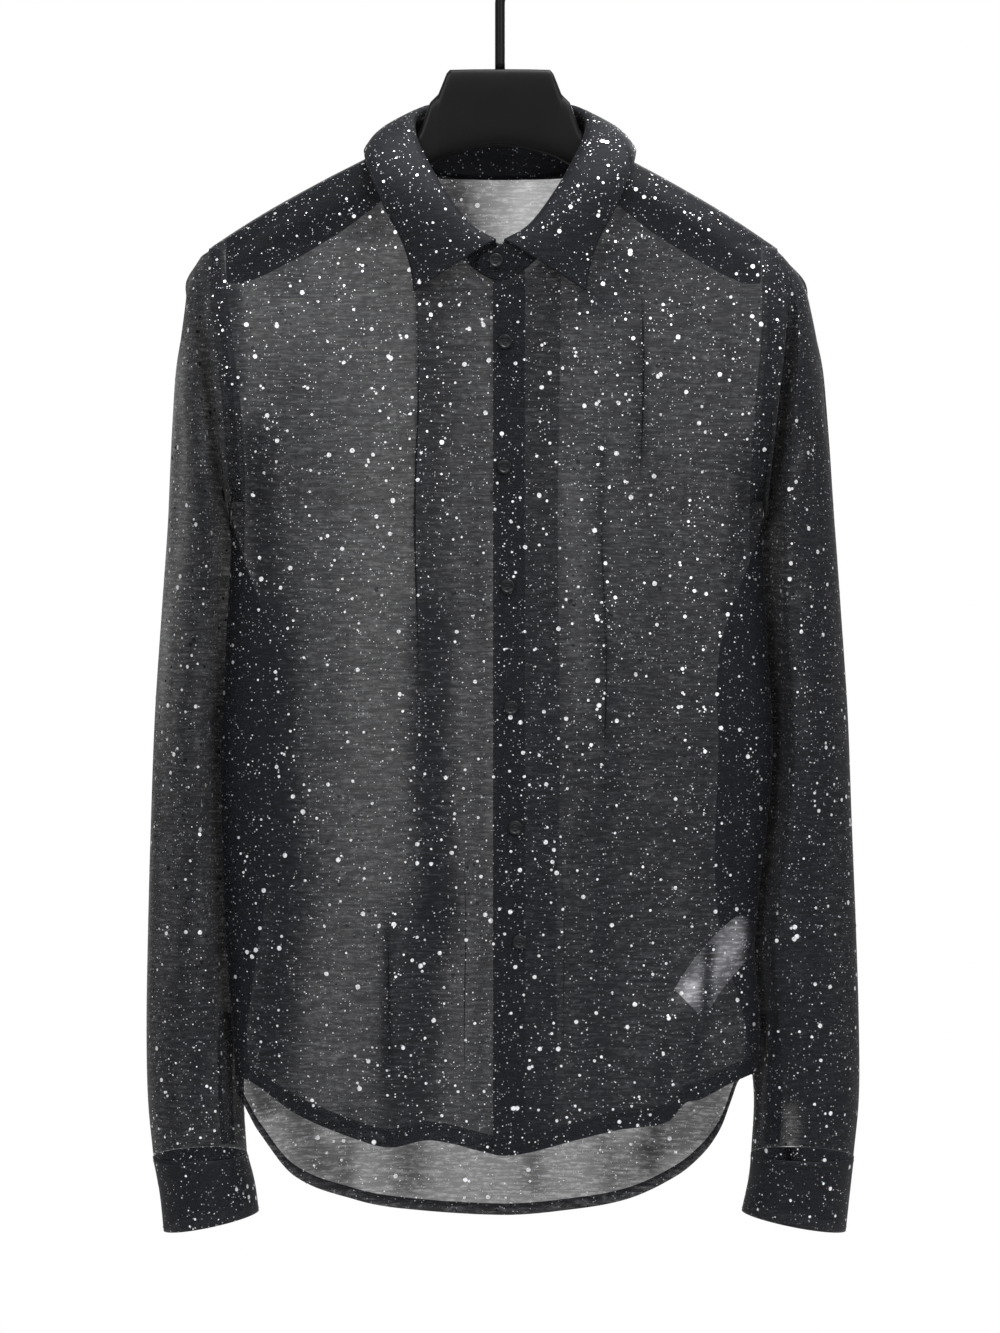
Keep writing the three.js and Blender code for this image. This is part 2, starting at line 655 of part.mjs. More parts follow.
function cuffPoint(sign, row, share) {
  const at = (column) => lookUp(CUFF_ROWS, 'row', column, row);
  const outerX = at(sign < 0 ? 'outerLeft' : 'outerRight');
  const innerX = at(sign < 0 ? 'innerLeft' : 'innerRight');
  const turn = SLIT_TURN - CUFF_LAP + (2 * Math.PI + CUFF_LAP) * share;
  const lift = CUFF_LAP_LIFT * ease(share, CUFF_LAP_FROM, CUFF_LAP_TO);
  const swing = Math.cos(turn);
  const reach = (outerX - innerX) / 2 + lift;
  const x = (outerX + innerX) / 2 + reach * swing;
  const down = (at('outerDown') + at('innerDown')) / 2
    + ((at('outerDown') - at('innerDown')) / 2) * swing;
  const y = at('behind') + (at('half') + lift) * Math.sin(turn);
  return new THREE.Vector3(sign * x, y, -down);
}

// A round button with a raised rim, flat side inward, facing a direction
function addButton(name, point, facing) {
  const rimInner = BUTTON_RADIUS - BUTTON_RIM_WIDTH;
  const profile = [
    new THREE.Vector2(0, 0),
    new THREE.Vector2(BUTTON_RADIUS - BUTTON_RIM, 0),
    new THREE.Vector2(BUTTON_RADIUS, BUTTON_RIM),
    new THREE.Vector2(BUTTON_RADIUS - BUTTON_RIM, BUTTON_THICKNESS),
    new THREE.Vector2(rimInner, BUTTON_THICKNESS),
    new THREE.Vector2(rimInner - BUTTON_RIM, BUTTON_THICKNESS - BUTTON_DISH),
    new THREE.Vector2(0, BUTTON_THICKNESS - BUTTON_DISH),
  ];
  const mesh = addPiece(name, new THREE.LatheGeometry(profile, BUTTON_SIDES), BUTTON_PLASTIC);
  mesh.position.copy(point);
  mesh.quaternion.setFromUnitVectors(new THREE.Vector3(0, 1, 0), facing);
}

for (const [name, sign] of [['left', 1], ['right', -1]]) {
  const rings = [];
  for (let ring = 0; ring < SLEEVE_RINGS; ring += 1) {
    const row = (SLEEVE_END * ring) / (SLEEVE_RINGS - 1);
    const line = [];
    for (let step = 0; step < RING_POINTS; step += 1) {
      line.push(sleevePoint(sign, row, (2 * Math.PI * step) / RING_POINTS));
    }
    rings.push(line);
  }
  addPiece(`sleeve_${name}`, wallGeometry(rings, WALL, 0, true), CLOTH);

  const strip = [];
  const placketEnd = SLEEVE_END - PLACKET_END_GAP;
  for (let step = 0; step <= PLACKET_STEPS; step += 1) {
    const row = PLACKET_TOP_ROW + ((placketEnd - PLACKET_TOP_ROW) * step) / PLACKET_STEPS;
    strip.push([-0.5, 0, 0.5].map((side) => (
      sleevePoint(sign, row, SLIT_TURN + side * PLACKET_WIDTH_ANGLE)
    )));
  }
  const outward = sign * PLACKET_LIFT;
  addPiece(`placket_${name}`, wallGeometry(strip, FACING_WALL, outward), CLOTH);

  const band = [];
  for (let row = 0; row < CUFF_ROWS.length; row += 1) {
    const line = [];
    for (let step = 0; step <= CUFF_STEPS; step += 1) {
      line.push(cuffPoint(sign, row, step / CUFF_STEPS));
    }
    band.push(line);
  }
  addPiece(`cuff_${name}`, wallGeometry(band, STAND_WALL), CLOTH);

  const seat = cuffPoint(sign, 1, CUFF_BUTTON_SHARE);
  const opposite = cuffPoint(sign, 1, CUFF_BUTTON_SHARE - 0.5);
  const middle = new THREE.Vector3((seat.x + opposite.x) / 2, CUFF[1].behind, seat.z);
  const facing = seat.clone().sub(middle).normalize();
  seat.addScaledVector(facing, STAND_WALL / 2 + LAYER_GAP);
  addButton(`cuff_button_${name}`, seat, facing);
}

// Front buttons
const FORWARD = new THREE.Vector3(0, -1, 0);
BUTTONS.forEach(({ x, down }, index) => {
  const depth = bodyDepth('front', x, down) + SEAM_GAP / 2 + OVERLAP_LIFT;
  const onStand = index === 0 ? COLLAR_BUTTON_LIFT : 0;
  const y = -(depth + WALL / 2 + LAYER_GAP + onStand);
  addButton(`button_${index + 1}`, new THREE.Vector3(x, y, -down), FORWARD);
});

// Care label: a white strip sewn into the side seam, hanging free inside
const LABEL = [
  { x: 184.7, y: 0, down: 744 },
  { x: 176, y: 2, down: 744.5 },
  { x: 152, y: -3, down: 766 },
  { x: 139, y: 2, down: 789 },
];
const LABEL_HALF_WIDTH = 16.5;
const LABEL_SEAM_HALF_WIDTH = 12.4;
const LABEL_SLANT = 0.56;
const labelGrid = LABEL.map((row, index) => {
  const slant = index === 0 ? 0 : LABEL_SLANT;
  const half = index === 0 ? LABEL_SEAM_HALF_WIDTH : LABEL_HALF_WIDTH;
  return [-1, 1].map((side) => (
    new THREE.Vector3(row.x + side * half * slant, row.y, -row.down - side * half)
  ));
});
addPiece('care_label', wallGeometry(labelGrid, LABEL_WALL), LABEL_CLOTH);

// Hanger body: sections from the end of one arm, through the plate, to the end of the other
function hangerSections(sign) {
  const plate = PLATE.map((row) => ({ ...row, x: sign * row.x }));
  const arm = ARM.map(({ across, height, half }) => {
    const top = lookUp(RIDGE, 'across', 'down', across) + WALL / 2 + ARM_CLEAR;
    const x = sign * across * halfWidth(SHOULDER_DOWN, sign);
    return { x, top, bottom: top + height, half, power: ARM_POWER };
  });
  return [...plate, ...arm];
}

function hangerGeometry() {
  const left = hangerSections(-1).reverse();
  const right = hangerSections(1).slice(1);
  const sections = [...left, ...right];
  const positions = [];
  const faces = [];
  const superCurve = (value, power) => Math.sign(value) * Math.abs(value) ** (2 / power);
  for (const section of sections) {
    for (let step = 0; step < HANGER_SIDES; step += 1) {
      const turn = (2 * Math.PI * step) / HANGER_SIDES;
      const y = section.half * superCurve(Math.sin(turn), section.power);
      const half = (section.bottom - section.top) / 2;
      const down = section.top + half - half * superCurve(Math.cos(turn), section.power);
      positions.push(section.x, y, -down);
    }
  }
  const at = (section, step) => section * HANGER_SIDES + (step % HANGER_SIDES);
  for (let section = 0; section < sections.length - 1; section += 1) {
    for (let step = 0; step < HANGER_SIDES; step += 1) {
      faces.push(at(section, step), at(section + 1, step), at(section + 1, step + 1));
      faces.push(at(section, step), at(section + 1, step + 1), at(section, step + 1));
    }
  }
  const last = sections.length - 1;
  for (let step = 1; step < HANGER_SIDES - 1; step += 1) {
    faces.push(at(0, 0), at(0, step), at(0, step + 1));
    faces.push(at(last, 0), at(last, step + 1), at(last, step));
  }
  return solidGeometry(positions, faces);
}
addPiece('hanger_body', hangerGeometry(), HANGER_PLASTIC);

// Hook: a round rod from the plate up and over the rail, open on one side
const HOOK_START = -Math.PI / 6;
const HOOK_SWEEP = (11 / 9) * Math.PI;
const hookRadius = HOOK_INNER_RADIUS + ROD_RADIUS;
const hookMiddle = -HOOK_INNER_RADIUS;
class HookArc extends THREE.Curve {
  getPoint(share) {
    const turn = HOOK_START + HOOK_SWEEP * share;
    return new THREE.Vector3(hookRadius * Math.cos(turn), 0, hookMiddle + hookRadius * Math.sin(turn));
  }
}
const arc = new HookArc();
const arcStart = arc.getPoint(0);
const stemBottom = new THREE.Vector3(0, 0, -PLATE_TOP_DOWN + STEM_SEAT);
const stemTop = new THREE.Vector3(0, 0, -STEM_TOP_DOWN);
const into = new THREE.Vector3(-Math.sin(HOOK_START), 0, Math.cos(HOOK_START));
const hookPath = new THREE.CurvePath();
hookPath.add(new THREE.LineCurve3(stemBottom, stemTop));
hookPath.add(new THREE.CubicBezierCurve3(
  stemTop,
  stemTop.clone().add(new THREE.Vector3(0, 0, HOOK_BEND)),
  arcStart.clone().addScaledVector(into, -HOOK_BEND),
  arcStart,
));
hookPath.add(arc);
const rod = new THREE.Shape();
rod.absarc(0, 0, ROD_RADIUS, 0, 2 * Math.PI, false);
const hookShape = { steps: 36, curveSegments: 5, bevelEnabled: false, extrudePath: hookPath };
addPiece('hanger_hook', new THREE.ExtrudeGeometry(rod, hookShape), HOOK_METAL);

export default shirt;
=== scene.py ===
import math

import bpy
import numpy as np
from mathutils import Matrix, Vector


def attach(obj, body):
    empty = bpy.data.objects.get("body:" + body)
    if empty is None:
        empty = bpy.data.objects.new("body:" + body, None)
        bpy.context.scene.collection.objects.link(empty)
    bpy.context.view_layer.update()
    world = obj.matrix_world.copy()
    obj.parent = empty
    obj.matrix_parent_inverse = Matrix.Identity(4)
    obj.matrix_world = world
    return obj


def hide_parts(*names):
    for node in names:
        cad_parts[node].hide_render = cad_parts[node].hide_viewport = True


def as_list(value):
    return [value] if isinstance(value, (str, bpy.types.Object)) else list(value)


# A sheer button-up shirt with silver dots on a broad plastic hanger.
# The shapes are worked out in millimetres, with "down" below the hook's saddle, and stored in metres.

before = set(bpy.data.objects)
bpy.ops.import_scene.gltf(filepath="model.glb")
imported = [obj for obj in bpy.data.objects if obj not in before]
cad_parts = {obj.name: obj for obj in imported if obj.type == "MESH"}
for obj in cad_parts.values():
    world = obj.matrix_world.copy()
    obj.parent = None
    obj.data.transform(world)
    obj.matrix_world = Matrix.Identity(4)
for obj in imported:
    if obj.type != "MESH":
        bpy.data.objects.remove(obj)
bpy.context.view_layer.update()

MM = 0.001
rng = np.random.default_rng(17)


def table(names, rows):
    """Named columns of a short table, whose rows are parted by commas."""
    return dict(zip(names.split(), np.array([row.split() for row in rows.split(",")], float).T))


# Sizes of the shirt and the hanger, in millimetres
SIDES = (("left", 1), ("right", -1))
SEAM_GAP = 0.4
OVERLAP_LIFT, OVERLAP_REACH, OVERLAP_DOWN = 2.7, (52, 115), (165, 200)
SHOULDER_DOWN, UNDERARM_DOWN = 240, 425
ARMHOLE_HALF_DEPTH, RIDGE_ROUNDING = 33, 28
NECK_DOWN, NECK_HALF_WIDTH = 161, 73
FRONT_NECK_DROP, BACK_NECK_DROP, NECK_BULGE, NECK_BULGE_DOWN = 106, 21, 12, (200, 380)
HEM_DOWN = 870
OVER_EDGE_X, UNDER_EDGE_X = -5, 18
FRONT_HEM_TURN, BACK_HEM_TURN = 13.5, 8.5

BODY_WIDTH = table("down left right", """
    150 212 202, 240 212 202, 300 207 202, 360 200 197, 440 196 192, 526 200 195, 614 204 199, 748 200 186,
    801 196 190, 850 193 187, 960 190 184
""")
RIDGE = table("across down", """
    0 146, 0.34 161, 0.467 175.5, 0.6 190, 0.8 213.5, 1 240
""")
BODY_DEPTH = table("down front back", """
    150 24 26, 240 26 28, 300 32 33, 425 38 37, 600 42 40, 800 41 42, 960 40 41
""")
FRONT_HEM = table("x down", """
    -196 843, -179 847, -146 869, -95 888.5, -77 891, -54 886, -34 888.5, -17 893, 1 896.5, 18 895, 57 885,
    83 879, 121 873, 133 860, 144 858, 167 847, 190 839
""")
BACK_HEM = table("x down", """
    -196 848, -187 868, -178 887, -153 921, -108 940, -73 947, 0 952, 44 949, 94 940, 131 922, 151 904,
    163 885, 170 864, 175 849, 190 842
""")
FOLD_COLUMNS = "top_x bottom_x top_down bottom_down width depth"
FRONT_FOLDS = table(FOLD_COLUMNS, """
    -59 -61 285 560 15 6, -56 -50 430 800 26 -5, -78 -74 720 900 16 6, 103 100 280 430 18 6,
    70 76 400 760 22 6, 104 108 400 800 24 -4, 130 122 790 890 16 6
""")
BACK_FOLDS = table(FOLD_COLUMNS, """
    -84 -92 300 640 24 6, -30 -24 380 930 26 -5, 46 40 300 760 24 5, 104 116 340 860 26 -6
""")
SLEEVE = table("row outer_left outer_right outer_down inner inner_down half behind", """
    0 212 202 241 0 425 33 0, 1 220 212 248 1.5 434 34 1, 2 227 221 263 1.5 446 35 3,
    3 231 228 288 -3 461 38 7, 4 236 235 324 -12 480 41 12, 5 239 239 362 -23 502 44 17,
    6 242 243 404 -32 528 46 20, 7 245 247 450 -37 558 47 23, 8 249 251 505 -38 594 47 24,
    9 254 256 580 -37 645 46 24, 10 257 259 660 -31 704 45 24, 11 259 262 738 -18 768 43 23,
    12 260 264 808 -7 824 41 22, 13 259 264 862 -4 866 40 22, 14 255 260 905 -5 903 39 22
""")
SLEEVE_END = 14
ARMHOLE_CLEAR, SLEEVE_CLEAR, SLEEVE_WIDENING = 0.2, 2.5, 0.97
SLEEVE_WRAP_SLOPE, SLEEVE_RIPPLE = 3.5, 2.5
HEAD_ROUND_LEFT, HEAD_ROUND_RIGHT, WRIST_IN_RIGHT = 4.6, 2.5, 4.5
SLIT_TURN = 2.1
PLACKET_TOP_ROW, PLACKET_WIDTH_ANGLE, PLACKET_LIFT = 11.7, 0.35, 2.1
CUFF = table("row outer_left outer_right outer_down inner_left inner_right inner_down half behind", """
    0 255 260 905.6 186.6 180.6 903.6 39 22, 1 250 257 932 181 180 925 38 22,
    2 247 254 960 178 178 946 37 22
""")
CUFF_LAP, CUFF_LAP_LIFT, CUFF_LAP_FROM, CUFF_LAP_TO = 0.42, 2.2, 0.78, 0.93
CUFF_BUTTON_SHARE = 0.965
COLLAR = table("fold_x fold_y fold_down edge_x edge_y edge_down bulge", """
    3 -44.5 239 62 -43 276 4, 21 -43 228 64.5 -42 259 5, 39 -38 204 71 -41 239 8, 53 -29 179 84 -39 214 13,
    62 -15 158 95 -32 187 14, 64 2 143 99 0 168 9, 57 19 134 94 29 174 7, 43 31 130 68 45 181 6,
    22 37 129 34 50 183 5, 0 38 129 0 51 183 5
""")
LEAF_SEAM_DROP, LEAF_SEAM_INSET, LEAF_CLEAR, NECK_POINT_ROW = 5, 2.2, 3, 5
STAND_OVER_TURN, STAND_UNDER_TURN = -0.24, 0.2
STAND_TUCK, STAND_FRONT_REACH = 0.1, 5.5
STAND_CLEAR, STAND_TOP_CLEAR, STAND_OVER_SHARE, STAND_END_DROP = 1.4, 1.9, 0.6, 0.35
PLATE = table("x top bottom half power", """
    0 109.7 165 7 5, 20 109.8 167.5 7 5, 36.5 110.2 172 7 5, 39 113 173 7 5, 45 128 176 7.2 4,
    51 134 179.5 7.6 4, 57.5 152 184 8 3, 63 161.5 187.5 8.5 2.5, 68 163.5 190.5 11 2.2
""")
ARM = table("across height half", """
    0.37 33 13, 0.44 38 15.5, 0.55 43 18, 0.68 45 19, 0.8 44 18.5, 0.88 41 15.5, 0.94 33 9
""")
ARM_POWER, ARM_CLEAR = 2.2, 0.4
ROD_RADIUS, HOOK_INNER_RADIUS = 3.65, 20.5
STEM_TOP_DOWN, PLATE_TOP_DOWN, HOOK_BEND = 62, 110, 14
COLLAR_BUTTON_LIFT = 3.5
BUTTONS = ((-3, 254), (3.5, 312), (3, 402), (5.5, 488), (8, 575), (11, 661), (14, 743))
LABEL = table("row x y down half slant", """
    0 184.7 0 744 12.4 0, 1 176 2 744.5 16.4 0.2, 2 154 -3 767 14.2 0.55, 3 138 2 792 10.8 1
""")

# Smaller creases: a soft ridge (+) or trough (-) along a line from one place to the other
CREASE_COLUMNS = "x0 down0 x1 down1 width depth"
FRONT_CREASES = table(CREASE_COLUMNS, """
    -44 268 -42 468 9 -2.2, -52 424 -48 800 12 2, -83 744 -80 884 8 2.6, -58 744 -55 884 10 -1.8,
    -120 300 -132 520 15 1.6, -150 330 -168 450 10 -1.8, -176 320 -150 470 9 1.6, -105 560 -112 850 18 -1.8,
    -140 640 -150 860 14 1.6, -30 620 -26 880 12 1.5, -70 230 -110 330 12 1.8, -98 232 -140 300 10 -1.4,
    58 424 60 694 9 2.2, 90 430 92 690 10 1.8, 105 430 104 700 8 -1.6, 128 430 131 700 15 1.8,
    118 300 125 400 9 -1.8, 150 320 166 470 11 1.6, 172 330 150 440 9 -1.4, 134 740 120 868 5 2.8,
    112 800 128 866 4 -2, 126 770 146 850 5 -1.8, 146 700 152 848 12 1.5, 40 720 36 880 14 -1.4,
    62 240 96 330 11 1.8, 30 300 34 420 12 1.2, 22 480 28 640 10 -1.2, 86 700 92 870 10 1.6,
    160 500 168 660 9 1.6, -165 500 -170 700 9 -1.5
""")
BACK_CREASES = table(CREASE_COLUMNS, """
    -60 190 -80 330 13 1.8, 62 190 84 320 12 1.8, 0 200 3 420 16 -1.8, -120 260 -135 520 13 1.8,
    128 260 138 480 12 -1.6, -160 320 -150 470 9 1.8, 160 330 148 470 10 1.6, -58 480 -66 820 14 2.2,
    -4 500 2 930 13 2.2, 22 560 30 920 10 -1.8, 64 520 76 900 13 2.2, 90 640 84 920 9 -1.8,
    -110 560 -112 900 16 -1.8, -140 640 -146 880 12 1.8, 130 600 146 880 11 1.8, -82 700 -70 940 8 2.2,
    48 760 52 945 6 2.4, -38 800 -44 948 6 -2.2, 112 760 120 925 7 2, -24 640 -18 860 8 -1.6
""")
WAVER, WAVER_LENGTH = 1.2, 31
# Sharp pleats, where the cloth folds over itself: place, width, how far it folds and its lift
PLEAT_COLUMNS = "x0 down0 x1 down1 width fold lift"
FRONT_PLEATS = table(PLEAT_COLUMNS, """
    -59.5 255 -60.5 600 5 8.6 2.2, 103 262 101 425 5 8.4 2.2, 73 380 77 700 5 7.6 2.2, -83 715 -76 850 5 8 2
""")
BACK_PLEATS = table(PLEAT_COLUMNS, """
    -28 620 -24 930 6 8.6 2.2, 44 640 50 900 5 7.6 2
""")
# Gathers and painted shade: bands in which the threads lie closer (+) or wider (-), which darken the cloth
# as painted shade (+) and lighten it as painted light (-), as in the shadows of the collar and the hanger
# and the lighter cloth over the label; each with the width of its two sides
GATHER_COLUMNS = "x0 down0 x1 down1 left right amount"
FRONT_GATHERS_AND_SHADE = table(GATHER_COLUMNS, """
    -59 250 -58 526 2 19 1.1, -52 511 -47 738 13 16 1.9, -53 716 -63 876 22 16 1.5,
    -35 300 -35 526 22 22 0.4, -22 250 -22 291 26 26 0.55, -13 365 -13 862 7 6 0.35,
    -80 727 -80 844 4 6 1.1, -150 336 -146 716 44 29 0.5, -193 267 -191 351 6 6 0.9,
    -178 373 -168 511 10 15 1.3, -165 511 -157 687 16 15 2.1, -158 687 -168 844 19 19 1.9,
    103 289 104 402 9 2 0.7, 74 380 74 526 5 4 0.6, 75 526 82 643 7 7 0.6, 72 636 74 847 12 9 0.4,
    53 409 57 584 10 9 -0.4, 110 380 113 584 7 9 0.2, 162 307 164 409 7 7 0.25, 150 555 150 701 6 6 0.25,
    77 241 77 292 25 29 0.8, 142 807 140 844 7 7 0.8, 118 818 118 869 5 5 0.5, 64 679 61 752 6 6 -0.2,
    128 687 128 760 7 7 -0.3, 181 380 168 511 9 10 0.9, 22 336 20 862 10 10 0.12,
    162 804 164 833 10 10 -0.3, -91 209 -93 238 18 18 0.4, -151 241 -149 278 15 13 0.35,
    89 209 88 234 10 10 0.5, 180 731 132 790 17 14 -0.8, 150 745 149 801 4 4 1.7, 188 716 188 789 8 9 6,
    136 771 134 790 7 6 -0.5, -196 271 -196 303 9 9 0.5, -4 271 -4 438 4 4 0.35
""")
BACK_GATHERS_AND_SHADE = table(GATHER_COLUMNS, """
    -67 884 -67 935 16 12 0.65, 23 876 25 935 10 7 0.45, 77 884 82 935 12 9 0.35, 113 884 111 920 9 7 0.7,
    -153 858 -133 920 19 10 0.7, -113 869 -115 928 6 7 0.4, 139 858 120 906 18 18 0.6,
    -38 184 -28 231 22 15 1.2, 20 184 16 241 16 29 -0.38, -124 365 -127 643 7 12 0.15,
    44 278 41 643 10 6 0.12, 139 409 146 716 9 9 0.12, -22 300 -19 614 7 10 0.1,
    -180 847 -174 875 10 12 0.9, 164 847 150 898 12 12 0.5, -124 898 -120 931 10 9 0.35,
    104 898 96 928 16 16 0.35
""")
OVER_GATHER, OVER_GATHER_BELOW, UNDER_GATHER_BELOW, TAIL_GATHER = 0.46, 0.8, 0.3, 0.12
FACING_GATHER, FRONT_HEM_GATHER = -0.35, 0.6
BACK_HEM_GATHERS = (1.7, 1.6, 1.3, 0.9, 0.7, 0.6, 0.5, 0.4)
# Streaks along a sleeve, of closer (+) or wider (-) threads that serve as painted shade and painted light:
# side (0 is both), rows, places round it, width in turn and amount
SLEEVE_SHADE_STREAKS = table("side row0 row1 turn0 turn1 width amount", """
    0 0 14 -0.45 -0.5 0.16 0.15, 0 1 13 -0.85 -0.7 0.13 -0.25, 0 2 14 -1.25 -1.2 0.15 0.35,
    0 3 12 -1.65 -1.5 0.13 -0.15, 0 0 14 -2.1 -2 0.2 0.25, 0 0 14 0.5 0.4 0.15 0.15,
    0 1 13 0.95 1.1 0.16 -0.15, 0 2 14 1.4 1.3 0.2 0.25, 0 3 12 1.9 2 0.18 -0.1, 0 0 14 2.5 2.4 0.2 0.15,
    -1 3.5 9 0 0.1 0.55 -0.32, -1 3 9.5 -0.62 -0.6 0.22 -0.4, -1 3 9.5 0.62 0.6 0.25 -0.4,
    -1 8 13 -1.75 -1.75 0.2 0.6, 1 4 9 -1.45 -1.35 0.17 -0.5, 1 4.2 7.5 -1.25 -1.2 0.2 -1.1,
    1 4 14 -1 -0.95 0.16 0.3, 1 4.5 6.5 -0.5 -0.5 0.2 0.4, 1 4.5 6.5 0.5 0.5 0.2 0.4,
    1 6 14 -1.85 -1.75 0.2 0.4, 1 10.3 12.6 -0.9 -0.85 0.2 -0.45, 1 11.5 14.4 -1.5 -1.5 0.4 0.35,
    1 12.9 14.4 -2.05 -1.95 0.28 -2.1, -1 11.5 14.4 -1 -0.9 0.5 0.25, 1 11.5 14.4 0 0 0.4 0.35
""")
SLEEVE_GATHER_LEFT, SLEEVE_GATHER_RIGHT = 0.5, 0.97
# A lighter band along the outer side of each sleeve, where the cloth is made more open: painted rim light,
# as its amount and its width in turn
SLEEVE_RIM_LIGHT, SLEEVE_RIM_LIGHT_TURN = 0.5, 0.42
# Creases of a sleeve: places as row and turn, and the millimetres that each of them stands for
SLEEVE_SCALE = (46, 52)
SLEEVE_CREASES = table("row0 turn0 row1 turn1 width depth", """
    1 -0.3 5 -1.5 10 -3.2, 1.4 -0.7 5.6 -2 9 2.6, 0.8 0.4 4 -0.7 9 2.4, 2.2 0.2 6.4 -1 9 -2.6,
    4.6 -0.3 8.4 -1.2 11 2.2, 5.5 -1.3 9.6 -0.7 9 -2.2, 7.2 -0.4 11.5 -1.2 12 2.6,
    8.6 -1.4 12.8 -0.9 9 -2.6, 10.4 -0.5 13.6 -1 8 2.2, 11.6 -1.5 13.9 -1.2 7 2.4, 12.2 -0.4 14 -0.6 6 -2.2,
    12.6 -2.2 14 -2 7 -2.2, 1 0.8 5 1.7 10 -2.8, 2 1 6.5 2.2 9 2.4, 4.5 0.7 9 1.4 12 2.4,
    6.5 1.5 10.5 1.1 9 -2.4, 9 0.8 13 1.5 10 2.4, 11.5 1.3 14 1 7 -2.2, 12.4 2.6 14 2.5 6 2,
    3 0 7 0.2 10 1.8, 8 0.1 12 -0.2 10 -1.8
""")


# The forms of the solids, and finer ones on them
def ease(value, start, end):
    share = np.clip((value - start) / (end - start), 0, 1)
    return share * share * (3 - 2 * share)


def look_up(rows, column, place):
    """One column at a place along the first column, on a smooth curve through the rows."""
    keys, values = next(iter(rows.values())), rows[column]
    place = np.asarray(place, float)
    last = len(keys) - 1
    index = np.arange(last + 1)
    low, high = np.maximum(0, index - 1), np.minimum(last, index + 1)
    slopes = (values[high] - values[low]) / (keys[high] - keys[low])
    row = np.clip(np.searchsorted(keys, place, side="left") - 1, 0, last - 1)
    span = keys[row + 1] - keys[row]
    share = np.clip((place - keys[row]) / span, 0, 1)
    square = share * share
    cube = square * share
    return (
        (2 * cube - 3 * square + 1) * values[row]
        + (cube - 2 * square + share) * span * slopes[row]
        + (3 * square - 2 * cube) * values[row + 1]
        + (cube - square) * span * slopes[row + 1]
    )


def half_width(down, x):
    left = look_up(BODY_WIDTH, "left", down)
    right = look_up(BODY_WIDTH, "right", down)
    return np.where(np.asarray(x) < 0, left, right)


def fold_depth(folds, x, down):
    depth = 0
    for top_x, bottom_x, top, bottom, width, amount in zip(*folds.values()):
        share = np.clip((down - top) / (bottom - top), 0, 1)
        distance = (x - top_x - (bottom_x - top_x) * share) / width
        depth = depth + amount * np.sin(np.pi * share) ** 0.6 * np.exp(-distance * distance)
    return depth


def crease_depth(creases, x, down, scale=(1, 1)):
    """Depth of small creases. scale gives millimetres for each unit of the two places."""
    depth = 0
    for x0, down0, x1, down1, width, amount in zip(*creases.values()):
        along = np.array((x1 - x0, down1 - down0)) * scale
        length = np.hypot(*along)
        across_x, across_down = (x - x0) * scale[0], (down - down0) * scale[1]
        share = np.clip((across_x * along[0] + across_down * along[1]) / length**2, 0, 1)
        distance = (across_x * along[1] - across_down * along[0]) / length / width
        depth = depth + amount * np.sin(np.pi * share) ** 0.8 * np.exp(-distance * distance)
    return depth


def waver(down):
    """How far a long fold strays sideways on its way down."""
    return WAVER * np.sin(down / WAVER_LENGTH)


def gathered_and_shaded(bands, x, down):
    """How much closer than usual the threads lie at each place, with painted shade (+) and painted light
    (-) laid on the cloth in the same bands.
    """
    total = 0
    for x0, down0, x1, down1, left, right, amount in zip(*bands.values()):
        share = (down - down0) / (down1 - down0)
        ends = ease(share, -0.12, 0.1) * (1 - ease(share, 0.9, 1.12))
        distance = x - x0 - (x1 - x0) * np.clip(share, 0, 1) + waver(down)
        distance = distance / np.where(distance < 0, left, right)
        total = total + amount * ends * np.exp(-distance * distance)
    return total


def front_gather_and_shade(sign, grid):
    x, down = grid[..., 0], -grid[..., 2]
    if sign > 0:
        below = OVER_GATHER + OVER_GATHER_BELOW * ease(down, 360, 760)
    else:
        below = UNDER_GATHER_BELOW * ease(down, 500, 850)
    return below + gathered_and_shaded(FRONT_GATHERS_AND_SHADE, x, down)


def back_gather_and_shade(grid):
    down = -grid[..., 2]
    return gathered_and_shaded(BACK_GATHERS_AND_SHADE, grid[..., 0], down) + TAIL_GATHER * ease(down, 850, 880)


def sleeve_gather_and_shade(sign, row, turn):
    turn = (turn + np.pi) % (2 * np.pi) - np.pi + 0.12 * np.sin(row * 1.3)
    usual = SLEEVE_GATHER_LEFT if sign < 0 else SLEEVE_GATHER_RIGHT
    # Painted rim light: the outer side of the sleeve, at turn 0, is made more open and so lighter
    total = usual - SLEEVE_RIM_LIGHT * np.exp(-((turn / SLEEVE_RIM_LIGHT_TURN) ** 2)) + 0 * row
    for side, row0, row1, turn0, turn1, width, amount in zip(*SLEEVE_SHADE_STREAKS.values()):
        if side in (0, sign):
            share = (row - row0) / (row1 - row0)
            ends = ease(share, -0.1, 0.12) * (1 - ease(share, 0.88, 1.1))
            distance = (turn - turn0 - (turn1 - turn0) * np.clip(share, 0, 1)) / width
            total = total + amount * ends * np.exp(-distance * distance)
    return total


def pleated(pleats, x, down):
    """Moves places sideways into pleats. Gives the new x and how far the cloth is lifted."""
    moved, lift = x + 0 * down, 0 * x * down
    for x0, down0, x1, down1, width, fold, rise in zip(*pleats.values()):
        share = np.clip((down - down0) / (down1 - down0), 0, 1)
        strength = np.sin(np.pi * share) ** 0.5
        distance = (x - x0 - (x1 - x0) * share + waver(down)) / width
        moved = moved - fold * strength * distance * np.exp(-distance * distance)
        lift = lift + rise * strength * distance * np.exp(-(distance * distance) / 4)
    return moved, lift


